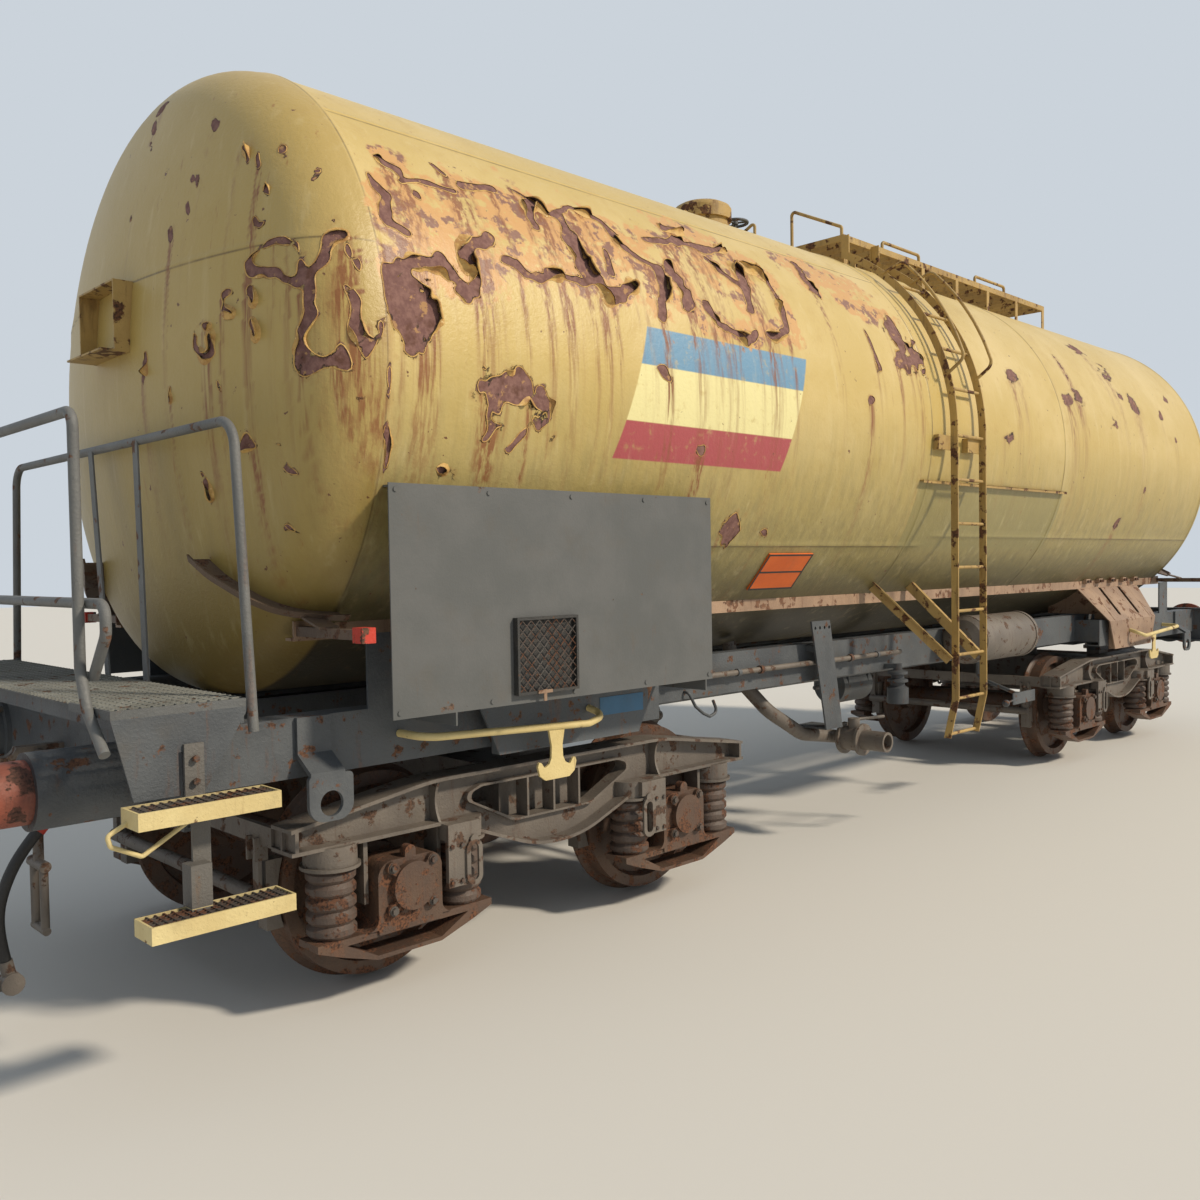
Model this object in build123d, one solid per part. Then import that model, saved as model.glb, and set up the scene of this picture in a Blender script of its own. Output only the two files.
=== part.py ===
from build123d import *
from math import asin, atan2, cos, degrees, radians, sin, sqrt, tan
import os

# Railway tank car on two two-axle bogies, in millimetres.
# The origin lies midway between the bogies, in the plane of the wheel flanges' tips.
# +X runs along the car away from the end platform, +Y to its left, +Z up.

# Clearances
seat_gap = 0.3
bolt_play = 1
sway_gap = 15

# Wheels and axles
flange_height = 28
flange_tip = (10, 18)
flange_flank = (32, 44)
tread_fall = 4
web_fillet = 16
tread_radius = 460
wheel_back_y = 680
tyre_width = 135
rim_depth = 62
hub_radius = 140
hub_overhang = 18
web_thickness = 34
seat_radius = 92
axle_radius = 80
journal_radius = 65
journal_end_y = 1090
journal_play = 0.08

# Bogie frames
axle_offset = 900
journal_y = 1000
frame_half_length = 1450
flange_plate = 16
flange_half_width = 85
web_plate = 14
frame_top_z = 920
frame_end_top_z = 815
frame_knee_x = 760
frame_knee_radius = 1200
frame_bottom_z = 706
belly_z = 500
belly_half_flat = 146
belly_start_x = 680
belly_radius = 700
belly_start_radius = 300
window_tip_x = 560
window_tip_z = 800
window_top_z = 836
window_bottom_z = 650
window_top_half = 450
window_bottom_half = 250
window_rim = 10
window_rim_half_depth = 42
rib_thickness = 12
rib_pitch = 170
rib_waist = 35
brace_rib_x = 726
transom_half_length = 250
transom_bottom_z = 600
transom_top_z = 880
bowl_radius = 230
bowl_seat_z = 930
side_bearer_y = 850
side_bearer_half = 60
side_bearer_half_length = 110
side_bearer_z = 950
end_beam_thickness = 24
end_beam_bottom_z = 715
end_beam_top_z = 800
pedestal_thickness = 20
pedestal_half_depth = 50
pedestal_bottom_z = 430
cap_flange = 14
cap_flange_thickness = 14
friction_box = (182, 296, 431, 640)
friction_box_head = (182, 364)
friction_y = 1112
friction_thickness = 23
link_plate = (275, 364, 423, 631)
link_plate_thickness = 12
link_plate_wall = 22

# Springs and axle boxes
spring_offset = 330
spring_radius = 105
spring_bottom_z = 323
spring_top_z = 615
spring_groove = 15
spring_turns = 5
cap_lip = 8
box_inner_y = 925
box_outer_y = 1105
box_half_width = 165
box_top_z = 610
box_corner = 70
box_flare = 50
box_bottom_z = 300
ear_radius = 28
ear_lift = 22
ear_depth = 40
cover_radius = 105
cover_depth = 34
cover_lug = (103, 92)
cover_lug_radius = 27
cover_lug_depth = 22
arm_width = 40
wing_half_length = 450
wing_thickness = 30
wing_inner_depth = 60
wing_outer_depth = 95
tie_bar_z = 195
tie_bar_thickness = 18
tie_knee_x = 345
tie_knee_z = 253

# Brake gear in the bogies
block_gap = 7
block_thickness = 52
block_half_height = 150
block_width = 80
block_inner_y = 722
brake_beam_radius = 32
beam_bite = 6
hanger_width = 16
hanger_depth = 50
hanger_pin_radius = 14
hanger_pin_z = 675
lug_half_height = 30
lug_thickness = 14
push_rod_y = 300
push_rod_radius = 18

# Tank
tank_radius = 1445
tank_bottom_z = 1268
barrel_half_length = 4860
crown_radius = 3600
knuckle_radius = 290
seam_height = 6
seam_half_width = 22
tank_rail_y = 950
tank_rail_drop = 60
tank_rail_thickness = 12
tank_rail_foot = 60
tank_rail_overhang = 170

# Arms and stays at the tank's ends
arm_inset = 30
arm_size = 40
arm_z = 1605
arm_block = 60
arm_block_length = 70
arm_end_y = 1480
stay_route = [
    # distance from the middle, z
    (1190, 1620),
    (990, 1680),
    (690, 1830),
    (600, 1900),
]
stay_bend = 350
stay_plate = 10
stay_width = 90
stay_lip = 30
bracket_y0 = -170
bracket_y1 = 242
bracket_z0 = 2832
bracket_z1 = 3136
bracket_wall = 8
bracket_reach = 60
shelf_reach = 120

# Underframe
headstock_reach = 770
end_overhang = 1950
bolster_bottom_z = 1000
centre_sill_y = 190
centre_sill_top_z = 1245
sill_web = 12
sill_flange = 90
solebar_y = 905
solebar_top_z = 1320
solebar_bottom_z = 1075
cross_bearer_x = 1250
cross_bearer_half = 40
cross_bearer_z0 = 1100
cross_bearer_z1 = 1230
pigtail_radius = 9
pigtail_y = 940
pigtail_bend = 28
pigtail_route = [
    # x, z
    (-2540, 1117),
    (-2480, 1030),
    (-2413, 984),
    (-2352, 958),
    (-2284, 980),
    (-2322, 1050),
]
end_sill_outer_y = 1130
end_sill_depth = 130
end_sill_top_z = 1275
end_sill_bottom_z = 1035
end_sill_lap = 680
tank_post_x = 4560
tank_post_width = 230
tank_post_top_z = 1590
headstock_web = 14
headstock_depth = 80
headstock_half_width = 1240
headstock_top_z = 1290
headstock_bottom_z = 930
bolster_half_length = 200
bolster_knee_y = 700
bolster_tip_z = 1080
centre_plate_radius = 140
centre_pad_half = 260
centre_pad_thickness = 20

# Saddles
saddle_top_y = 960
saddle_top_half_length = 745
saddle_knee_z = 1262
saddle_knee_half_length = 585
saddle_foot_half_length = 460
saddle_foot_depth = 60
saddle_plate = 12
saddle_web_inner_y = 560
saddle_hole = 300
saddle_hole_height = 62
saddle_hole_radius = 28
saddle_hole_x = 235
saddle_hole_drop = 110

# Buffers and draw gear
buffer_height = 1060
buffer_y = 875
buffer_length = 620
base_radius = 180
base_thickness = 22
housing_radius = 140
housing_length = 410
plunger_radius = 115
plunger_tail = 40
disc_neck = 35
disc_radius = 225
disc_thickness = 38
disc_crown = 12
hook_half_width = 28
hook_half_height = 36
hook_tail = 160
hook_pin_set = 110
hook_neck = 190
hook_reach = 330
coupling_pin_radius = 20
link_radius = 18
link_y = 62
trunnion_radius = 24
trunnion_half_length = 90
link_drop = 280
screw_drop = 200
screw_radius = 22

# End platform
deck_inset = 200
deck_length = 480
deck_z = 1400
deck_half_width = 1340
deck_thickness = 30
deck_edge = 8
deck_bar = 5
deck_bar_pitch = 60
deck_notch = 60
deck_notch_set = 390
side_plate_thickness = 8
side_plate_bottom_z = 1085
side_plate_slope_z = 1354
side_plate_front = 70
side_plate_rear = 165
slot_x = 55
slot_width = 45
slot_height = 150
beam_height = 60
beam_thickness = 12
deck_post_y = 700
deck_post_half = 30
deck_arm_y = 1000
rail_tube = 19
front_post_set = 205
front_rail_z = 2415
front_bend = 60
front_foot_set = 5
front_foot_z = 1257
front_kick_set = 150
front_kick_z = 1391
front_knee_z = 1527
mid_rail_z = 1755
mid_hoop_set = 65
mid_hoop_knee_z = 1650
mid_hoop_foot_set = 190
mid_hoop_foot_z = 1500
mid_bend = 50
rear_foot_overhang = 10
rear_foot_z = 1276
rear_rail_set = 90
rear_rail_z = 2415
rear_bend = 110
flat_posts = [
    # distance from the middle at the foot, at the head; positive to the left
    (-432, -384),
    (-5, 131),
]
flat_post_width = 50
flat_post_thickness = 8

# Corner steps
step_depth = 148
step_height = 60
step_wall = 8
step_recess = 12
upper_step = (260, 243, 1080)
lower_step = (227, 290, 700)
strut_thickness = 12
upper_strut = (-39, 31, 980, 1262)
lower_strut = (-19, 47, 780, 1060)
strut_foot = (-53, 22, 690, 850)
strut_foot_depth = 60
grip_radius = 8
grip_reach = 60
grip_bend = 14
grip_route = [
    # along the car from the upper step's end, drop below its top
    (38, 27),
    (-63, 78),
    (-53, 114),
    (48, 165),
    (240, 57),
    (240, 16),
]

# Sign boards
board_stand_off = 35
board_overlap = 40
board_length = 1925
board_bottom_z = 1270
board_height = 920
board_thickness = 6
ledge_thickness = 8
fin_thickness = 8
fin_height = 55
fin_inset = 300
fin_end_inset = 30
box_x = 609
box_length = 354
box_z = 1309
box_height = 331
box_depth = 30
box_wall = 12

# Ladders
ladder_x = -248
ladder_half_width = 201
ladder_stand_off = 30
ladder_flat = 50
ladder_thickness = 10
ladder_bottom_z = 647
ladder_kick_z = 919
ladder_kick = 60
rung_radius = 11
rung_pitch = 295
ladder_tie_z = 2635
ladder_tie_half_height = 48
ladder_tie_length = 190
ladder_tie_stand = 40
brace_width = 65
brace_thickness = 8
brace_top_z = 1735
brace_shifts = (230, 150)
brace_foot_z = 1200
hoop_radius = 1648
hoop_rod = 11
hoop_first_angle = 17
hoop_step_angle = 6
hoop_corners = 6
hoop_foot_angles = (15, 50)
hoop_bend = 60
hoop_curve = 1200

# Walkway on the tank
walkway_x0 = -417
walkway_x1 = 2967
walkway_inner_y = 147
walkway_outer_y = 636
walkway_rise = 62
walkway_plate = 45
walkway_edge = 8
walkway_bar = 5
walkway_bar_pitch = 120
walkway_posts = (-417, -60, 695, 1252, 1808, 2364, 2922)
post_width = 45
post_thickness = 8
walk_rail_radius = 12
end_hoop_inset = 27
end_hoop_height = 275
end_hoop_low = 60
low_rails = [
    # x of its two feet
    (122, 667),
    (1609, 2157),
]
low_rail_height = 50

# Manhole
manhole_x = -1240
neck_radius = 185
neck_height = 120
lid_radius = 205
lid_skirt = 80
lid_rise = 60
lid_recess = 30
lid_dome = [
    # share of the lid's radius, share of its rise
    (1.0, 0.0),
    (0.94, 0.32),
    (0.77, 0.63),
    (0.5, 0.87),
    (0.22, 1.0),
]
lid_gap = 0.3
hinge_x = -1480
hinge_pin_radius = 10
hinge_ear_radius = 20
hinge_ear_y0 = 42
hinge_ear_y1 = 58
hinge_arm_half = 36
hinge_play = 0.08

# Top valve
valve_x = -870
valve_flange_radius = 90
valve_flange_thickness = 24
valve_body_radius = 45
valve_body_height = 95
spindle_radius = 12
wheel_lift = 195
hand_wheel_radius = 90
hand_wheel_tube = 11
hub_of_wheel = 24
relief_x = -700
relief_radius = 48
relief_height = 150

# Lifting eyes
eye_x = 5040
eye_leg = (-89, 62)
eye_half_width = 98
eye_corner = 68
eye_shoulder = 20
eye_bottom_z = 868
eye_hole_radius = 51
eye_z = 938
eye_thickness = 20
eye_y = 1250
eye_knee_z = 1130
eye_bend_z = 1065

# Rope hooks on bars
hook_bar_radius = 17
hook_bar_y = 1300
hook_bar_route = [
    # distance from the car's middle along it, across it, z
    (4640, 1130, 1156),
    (4620, hook_bar_y, 1150),
    (3680, hook_bar_y, 1104),
    (3565, 1290, 1130),
    (3580, 1190, 1160),
]
hook_bar_bends = [90, 60, 60]
rope_hook_x = 3893
rope_hook_top_z = 1112
rope_hook_thickness = 12
rope_hook_height = 240
rope_hook_half_width = 120
rope_hook_corner = 8
rope_hook_edge = [
    # share of the half width, share of the height, from the top down
    (0.42, 0.0),
    (0.28, 0.35),
    (0.30, 0.58),
    (0.42, 0.70),
    (0.66, 0.76),
    (0.80, 0.66),
    (0.93, 0.62),
    (1.0, 0.72),
    (0.90, 0.90),
    (0.62, 1.0),
]

# Discharge pipes and valves
pipe_radius = 45
pipe_y = 800
outlet_x = -880
outlet_z = 650
valve_back_y = 900
valve_length = 160
valve_radius = 82
valve_ring_radius = 108
valve_ring = 20
nozzle_length = 180
nozzle_radius = 67
nozzle_bore = 50
nozzle_bore_depth = 70
bonnet_radius = 40
bonnet_z = 790
handle_length = 270
handle_radius = 11
pipe_route = [
    # x, distance from the middle, z
    (-1700, 560, 1340),
    (-1690, 600, 1130),
    (-1540, 750, 890),
    (-1230, pipe_y, 705),
    (outlet_x, pipe_y, outlet_z),
    (outlet_x, valve_back_y, outlet_z),
]
pipe_bends = [150, 200, 250, 60]
hanger_y = 988
hanger_plate = 12
hanger_top = (-1395, -1186, 1472)
hanger_foot = (-1235, -1047)
hanger_spacer = (-1330, -1250, 1270, 1310)
hanger_hole_radius = 11
hanger_hole_drop = 45
hanger_holes = 4

# Brake gear on the car
reservoir_x0 = 420
reservoir_x1 = 1440
reservoir_z = 1245
reservoir_radius = 180
reservoir_end = 60
band_width = 40
band_thickness = 6
band_x = 70
distributor_x = -330
distributor_reach = 90
distributor_bracket = 60
distributor_profile = [
    # radius, height
    (75, 838),
    (75, 950),
    (50, 965),
    (50, 985),
    (72, 992),
    (72, 1010),
    (45, 1018),
    (45, 1040),
    (70, 1048),
    (70, 1066),
    (30, 1080),
    (30, 1120),
]
brake_cylinder_x = 300
brake_cylinder_length = 420
brake_cylinder_radius = 150
brake_cylinder_drop = 12
brake_tube_x1 = -235
brake_tube_y = 960
brake_tube_z = 1200
brake_tube_radius = 17
tube_clips = (-2122, -1285, -560)
tube_clip = 30
tube_clip_wall = 6
tube_clip_half = 12
changeover_x = 1158
changeover_half = 195
changeover_z = 757
changeover_half_height = 45
changeover_y = 1250
changeover_plate = 10
changeover_rod = 14
changeover_ball_x = 835
changeover_ball_z = 738
train_pipe_y = 300
train_pipe_z = 965
train_pipe_radius = 17
train_pipe_overhang = 30
cock_radius = 28
cock_reach = 40
cock_fall = (130, 150)
cock_handle = 110
hose_radius = 23
hose_route = [
    # along the car and down from the cock's nozzle
    (65, 75),
    (120, 175),
    (155, 285),
    (155, 395),
    (135, 495),
]
ferrule_length = 70
ferrule_radius = 26.45
claw_set = 95
claw_radius = 43.7
claw_half_width = 32.2
claw_jaw = 59.8

os.makedirs("parts", exist_ok=True)

# Sizes that follow from others
rail_z = flange_height
axle_z = rail_z + tread_radius
buffer_z = rail_z + buffer_height
tank_z = tank_bottom_z + tank_radius
tank_top_z = tank_z + tank_radius
headstock_x = barrel_half_length + headstock_reach
pivot_x = headstock_x - end_overhang
deck_rear_x = headstock_x - deck_inset
deck_front_x = deck_rear_x + deck_length
deck_notch_half = deck_half_width - deck_notch_set
front_post_y = deck_half_width - front_post_set
front_foot_y = deck_half_width - front_foot_set
front_kick_y = deck_half_width - front_kick_set
mid_hoop_y = deck_half_width - mid_hoop_set
mid_hoop_foot_y = deck_half_width - mid_hoop_foot_set
rear_foot_y = deck_half_width + rear_foot_overhang
rear_rail_y = deck_half_width - rear_rail_set
grip_y = deck_half_width + grip_reach
end_sill_inner_y = end_sill_outer_y - end_sill_depth
end_sill_end_x = pivot_x - end_sill_lap
saddle_knee_y = end_sill_outer_y + saddle_foot_depth
walkway_z = tank_top_z + walkway_rise
board_y = tank_radius + board_stand_off
ladder_y = tank_radius + ladder_stand_off
frame_outer_y = journal_y + flange_half_width
frame_inner_y = journal_y - flange_half_width


def vectors(points):
    return [Vector(*point) for point in points]


def prism(points, direction):
    face = Face(Wire.make_polygon(vectors(points), close=True))
    return Solid.extrude(face, Vector(*direction))


def slab_y(outline, y0, y1):
    """A plate with its outline in X and Z, from y0 to y1."""
    return prism([(x, y0, z) for x, z in outline], (0, y1 - y0, 0))


def slab_x(outline, x0, x1):
    """A plate with its outline in Y and Z, from x0 to x1."""
    return prism([(x0, y, z) for y, z in outline], (x1 - x0, 0, 0))


def block(x0, x1, y0, y1, z0, z1):
    corner = Location((min(x0, x1), min(y0, y1), min(z0, z1)))
    return Solid.make_box(abs(x1 - x0), abs(y1 - y0), abs(z1 - z0)).moved(corner)


def edged_face(*pieces):
    """A face inside a closed run of lines and arcs."""
    return Face(Wire([edge for piece in pieces for edge in piece.edges()]))


def filleted_slab(outline, radii, y0, y1):
    """A plate with its outline in X and Z and a radius at each corner, from y0 to y1."""
    path = FilletPolyline(*[(x, y0, z) for x, z in outline], radius=radii, close=True)
    return Solid.extrude(edged_face(path), Vector(0, y1 - y0, 0))


def band(points, radii, thickness, y0, y1):
    """A bent plate of even thickness on a line of points in X and Z, from y0 to y1."""
    lower = FilletPolyline(*[(x, y0, z) for x, z in points], radius=radii)
    upper = FilletPolyline(*[(x, y0, z + thickness) for x, z in points], radius=radii)
    ends = [Line(lower @ 0, upper @ 0), Line(lower @ 1, upper @ 1)]
    return Solid.extrude(edged_face(lower, upper, *ends), Vector(0, y1 - y0, 0))


def rod(start, end, radius):
    start = Vector(*start)
    run = Vector(*end) - start
    return Solid.make_cylinder(radius, run.length, Plane(origin=start, z_dir=run))


def angle_bar(start, end, leg, thickness, hand):
    """An angle bar between two points; its level leg points along X in the hand's direction."""
    start = Vector(*start)
    run = Vector(*end) - start
    section = Plane(origin=start, x_dir=Vector(0, 0, 1).cross(run), z_dir=run)
    corners = [(0, 0), (leg, 0), (leg, thickness), (thickness, thickness), (thickness, leg), (0, leg)]
    points = [section.from_local_coords(Vector(hand * level, -inner, 0)) for level, inner in corners]
    return Solid.extrude(Face(Wire.make_polygon(points, close=True)), run)


def bent_rod(points, bends, radius):
    """A round bar along straight runs joined by arcs."""
    path = FilletPolyline(*points, radius=bends)
    section = Plane(origin=path @ 0, z_dir=path % 0) * Circle(radius)
    return sweep(section, path=path)


def turned(outline, axis):
    """A turned piece: its outline is a closed list of points round the axis."""
    face = Face(Wire.make_polygon(vectors(outline), close=True))
    return Solid.revolve(face, 360, axis)


def upright(profile, x, y):
    """A turned piece on a vertical axis, from a profile of radii and heights."""
    outline = [(x + radius, y, z) for radius, z in profile]
    return turned([(x, y, profile[0][1])] + outline + [(x, y, profile[-1][1])], Axis((x, y, 0), (0, 0, 1)))


def across(shape):
    """The shape and its twin on the other side of the car."""
    return [shape, shape.mirror(Plane.XZ)]


def along(shape):
    """The shape and its twin at the other end."""
    return [shape, shape.mirror(Plane.YZ)]


def four(shape):
    return [twin for side in across(shape) for twin in along(side)]


def at_pivots(shapes):
    return [shape.moved(Location((end * pivot_x, 0, 0))) for shape in shapes for end in (-1, 1)]


def write(name, *shapes):
    solids = [solid for shape in shapes for solid in shape.solids()]
    export_step(Compound(solids), f"parts/{name}.step")


def tank_depth(y):
    """Height of the tank's wall above or below its axis, at a distance y from its middle plane."""
    return sqrt(tank_radius**2 - y**2)


# Tank
crown_angle = asin((tank_radius - knuckle_radius) / (crown_radius - knuckle_radius))
head_depth = crown_radius - (crown_radius - knuckle_radius) * cos(crown_angle)
crown_x = barrel_half_length + head_depth
tank_axis = Axis((0, 0, tank_z), (1, 0, 0))


def head_edge(end, gap):
    """Half the head's section as two arcs, from the barrel to the crown; end is -1 or 1."""
    centre = crown_x - crown_radius
    knuckle = knuckle_radius + gap
    crown = crown_radius + gap
    knuckle_z = tank_z + tank_radius - knuckle_radius

    def on_knuckle(angle):
        return (end * (barrel_half_length + knuckle * sin(angle)), 0, knuckle_z + knuckle * cos(angle))

    def on_crown(angle):
        return (end * (centre + crown * cos(angle)), 0, tank_z + crown * sin(angle))

    bend = radians(90) - crown_angle
    return [
        ThreePointArc(on_knuckle(0), on_knuckle(bend / 2), on_knuckle(bend)),
        ThreePointArc(on_crown(crown_angle), on_crown(crown_angle / 2), on_crown(0)),
    ]


def tank_body(gap):
    """The tank's outer form, grown by a gap all round."""
    top = tank_top_z + gap
    tip = crown_x + gap
    edges = head_edge(-1, gap) + head_edge(1, gap)
    edges.append(Line((-barrel_half_length, 0, top), (barrel_half_length, 0, top)))
    edges.append(Line((-tip, 0, tank_z), (tip, 0, tank_z)))
    return Solid.revolve(edged_face(*edges), 360, tank_axis)


tank = tank_body(0)
for seam_x in (-barrel_half_length, barrel_half_length):
    seam = [
        (seam_x - seam_half_width, 0, tank_top_z - seam_height),
        (seam_x - seam_half_width / 2, 0, tank_top_z + seam_height),
        (seam_x + seam_half_width / 2, 0, tank_top_z + seam_height),
        (seam_x + seam_half_width, 0, tank_top_z - seam_height),
    ]
    tank = tank + turned(seam, tank_axis)
write("tank", tank)
tank_room = tank_body(seat_gap)
for seam_x in (-barrel_half_length, barrel_half_length):
    tank_room = tank_room + Solid.make_cylinder(
        tank_radius + seam_height + seat_gap,
        2 * (seam_half_width + seat_gap),
        Plane(origin=(seam_x - seam_half_width - seat_gap, 0, tank_z), z_dir=(1, 0, 0)),
    )

# Tank rails: angles along the tank's lower sides, whose feet lie on the saddles
tank_rail_z = tank_z - tank_depth(tank_rail_y) - tank_rail_drop
tank_rail_end = barrel_half_length + tank_rail_overhang
tank_rail = block(
    -tank_rail_end,
    tank_rail_end,
    -tank_rail_y - tank_rail_thickness,
    -tank_rail_y,
    tank_rail_z,
    tank_z - tank_depth(tank_rail_y + tank_rail_thickness) + tank_rail_thickness,
)
tank_rail += block(
    -tank_rail_end,
    tank_rail_end,
    -tank_rail_y,
    -tank_rail_y + tank_rail_foot,
    tank_rail_z,
    tank_rail_z + tank_rail_thickness,
)
write("tank_rails", *across(tank_rail - tank_room))

# Lamp arms on the rails' ends, each with a curved stay of plate round the head
lamp_arm_x = tank_rail_end - arm_inset
lamp_arm = block(
    -lamp_arm_x - arm_size / 2,
    -lamp_arm_x + arm_size / 2,
    -arm_end_y,
    -tank_rail_y - tank_rail_thickness - seat_gap,
    arm_z - arm_size / 2,
    arm_z + arm_size / 2,
)
lamp_arm += block(
    -lamp_arm_x - arm_block / 2,
    -lamp_arm_x + arm_block / 2,
    -arm_end_y,
    -arm_end_y + arm_block_length,
    arm_z - arm_block / 2,
    arm_z + arm_block / 2,
)


def stay_slab(thickness):
    """A thickness of plate along the stay's route, over the whole depth of the head."""
    x0 = -crown_x - stay_width
    lower = FilletPolyline(*[(x0, -y, z) for y, z in stay_route], radius=stay_bend)
    upper = FilletPolyline(*[(x0, -y, z + thickness) for y, z in stay_route], radius=stay_bend)
    ends = [Line(lower @ 0, upper @ 0), Line(lower @ 1, upper @ 1)]
    return Solid.extrude(edged_face(lower, upper, *ends), Vector(-barrel_half_length - x0, 0, 0))


head_zone = tank_body(stay_width)
arm_zone = block(
    -lamp_arm_x - stay_width / 2,
    -lamp_arm_x + stay_width / 2,
    -stay_route[0][0],
    -stay_route[1][0],
    arm_z - arm_size / 2,
    stay_route[1][1] + stay_width,
)
stay = stay_slab(stay_plate) & (head_zone + arm_zone)
stay += (stay_slab(stay_lip) & head_zone) - tank_body(stay_width - stay_plate)
write("lamp_arms", *four(lamp_arm + (stay - tank_room)))

# Open box bracket with a shelf on the near head
bracket = block(
    -crown_x - bracket_reach,
    -barrel_half_length,
    bracket_y0,
    bracket_y1,
    bracket_z0,
    bracket_z1,
)
bracket -= block(
    -crown_x - bracket_reach,
    -barrel_half_length,
    bracket_y0 + bracket_wall,
    bracket_y1 - bracket_wall,
    bracket_z0 + bracket_wall,
    bracket_z1 - bracket_wall,
)
bracket += block(
    -crown_x - shelf_reach,
    -barrel_half_length,
    bracket_y0,
    bracket_y1,
    bracket_z0 - bracket_wall,
    bracket_z0,
)
write("head_bracket", bracket - tank_room)

# Saddles: sloped plates with ribbed feet, and cross webs that are cut to the tank
slope_corners = [
    (-saddle_knee_half_length, -saddle_knee_y, saddle_knee_z),
    (saddle_knee_half_length, -saddle_knee_y, saddle_knee_z),
    (saddle_top_half_length, -saddle_top_y, tank_rail_z),
    (-saddle_top_half_length, -saddle_top_y, tank_rail_z),
]
saddle = prism(slope_corners, (0, saddle_plate, 0))
for hole_x in (-saddle_hole_x, saddle_hole_x):
    hole = Plane(origin=(hole_x, -saddle_knee_y, tank_rail_z - saddle_hole_drop), z_dir=(0, 1, 0))
    cutter = hole * RectangleRounded(saddle_hole, saddle_hole_height, saddle_hole_radius)
    saddle -= Solid.extrude(cutter.faces()[0], Vector(0, saddle_knee_y, 0))
saddle += slab_y(
    [
        (-saddle_knee_half_length, saddle_knee_z),
        (saddle_knee_half_length, saddle_knee_z),
        (saddle_foot_half_length, bolster_bottom_z),
        (-saddle_foot_half_length, bolster_bottom_z),
    ],
    -saddle_knee_y,
    -saddle_knee_y + saddle_plate,
)
for web_x in (-saddle_foot_half_length, saddle_foot_half_length):
    inward = saddle_plate if web_x < 0 else -saddle_plate
    saddle += block(
        web_x, web_x + inward, -saddle_knee_y, -end_sill_outer_y, bolster_bottom_z, saddle_knee_z
    )
    web = [
        (-saddle_knee_y + saddle_plate / 2, saddle_knee_z),
        (-saddle_knee_y + saddle_plate / 2, end_sill_top_z),
        (-saddle_top_y, tank_rail_z),
        (-saddle_web_inner_y, tank_rail_z),
        (-saddle_web_inner_y, solebar_top_z + seat_gap),
        (-end_sill_inner_y, solebar_top_z + seat_gap),
        (-end_sill_inner_y, end_sill_top_z),
        (-end_sill_outer_y, end_sill_top_z),
        (-end_sill_outer_y, saddle_knee_z),
    ]
    rail_foot = block(
        web_x - saddle_plate,
        web_x + saddle_plate,
        -tank_rail_y - tank_rail_thickness - seat_gap,
        -tank_rail_y + tank_rail_foot + seat_gap,
        tank_rail_z,
        tank_z,
    )
    saddle += slab_x(web, web_x, web_x + inward) - tank_body(seat_gap).moved(Location((pivot_x, 0, 0))) - rail_foot
write("saddles", *at_pivots(across(saddle)))


def channel(outer_y, depth, z0, z1):
    """Section of a channel in Y and Z, open towards the car's middle."""
    return [
        (-outer_y, z0),
        (-outer_y + depth, z0),
        (-outer_y + depth, z0 + sill_web),
        (-outer_y + sill_web, z0 + sill_web),
        (-outer_y + sill_web, z1 - sill_web),
        (-outer_y + depth, z1 - sill_web),
        (-outer_y + depth, z1),
        (-outer_y, z1),
    ]


# Centre sill: two channels along the whole car
sill_end_x = headstock_x - headstock_web
centre_channel = channel(centre_sill_y, sill_flange, bolster_bottom_z, centre_sill_top_z)
write("centre_sill", *across(slab_x(centre_channel, -sill_end_x, sill_end_x)))

# Solebars between the bolsters, with cross bearers to the centre sill and pigtail hooks
solebar_end_x = pivot_x - bolster_half_length
solebar = slab_x(
    channel(solebar_y, sill_flange, solebar_bottom_z, solebar_top_z), -solebar_end_x, solebar_end_x
)
for bearer_x in (-cross_bearer_x, 0, cross_bearer_x):
    solebar += block(
        bearer_x - cross_bearer_half,
        bearer_x + cross_bearer_half,
        -solebar_y + sill_web / 2,
        -centre_sill_y,
        cross_bearer_z0,
        cross_bearer_z1,
    )
root_x, root_z = pigtail_route[0]
pigtail = [(root_x, -solebar_y + sill_web / 2, root_z)] + [(x, -pigtail_y, z) for x, z in pigtail_route]
solebar += bent_rod(
    pigtail,
    [2 * pigtail_radius] + [pigtail_bend] * (len(pigtail_route) - 2),
    pigtail_radius,
)
write("solebars", *across(solebar))

# End sills over the bogies, each closed by a plate to the solebar, with a post for the tank
end_sill = slab_x(
    channel(end_sill_outer_y, end_sill_depth, end_sill_bottom_z, end_sill_top_z),
    -sill_end_x,
    -end_sill_end_x,
)
end_sill += block(
    -end_sill_end_x - sill_web,
    -end_sill_end_x,
    -end_sill_outer_y,
    -solebar_y,
    solebar_bottom_z,
    end_sill_top_z,
)
end_sill += block(
    -tank_post_x - tank_post_width,
    -tank_post_x,
    -end_sill_outer_y,
    -end_sill_outer_y + sill_web,
    end_sill_top_z,
    tank_post_top_z,
)
write("end_sills", *four(end_sill - tank_room))

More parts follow.
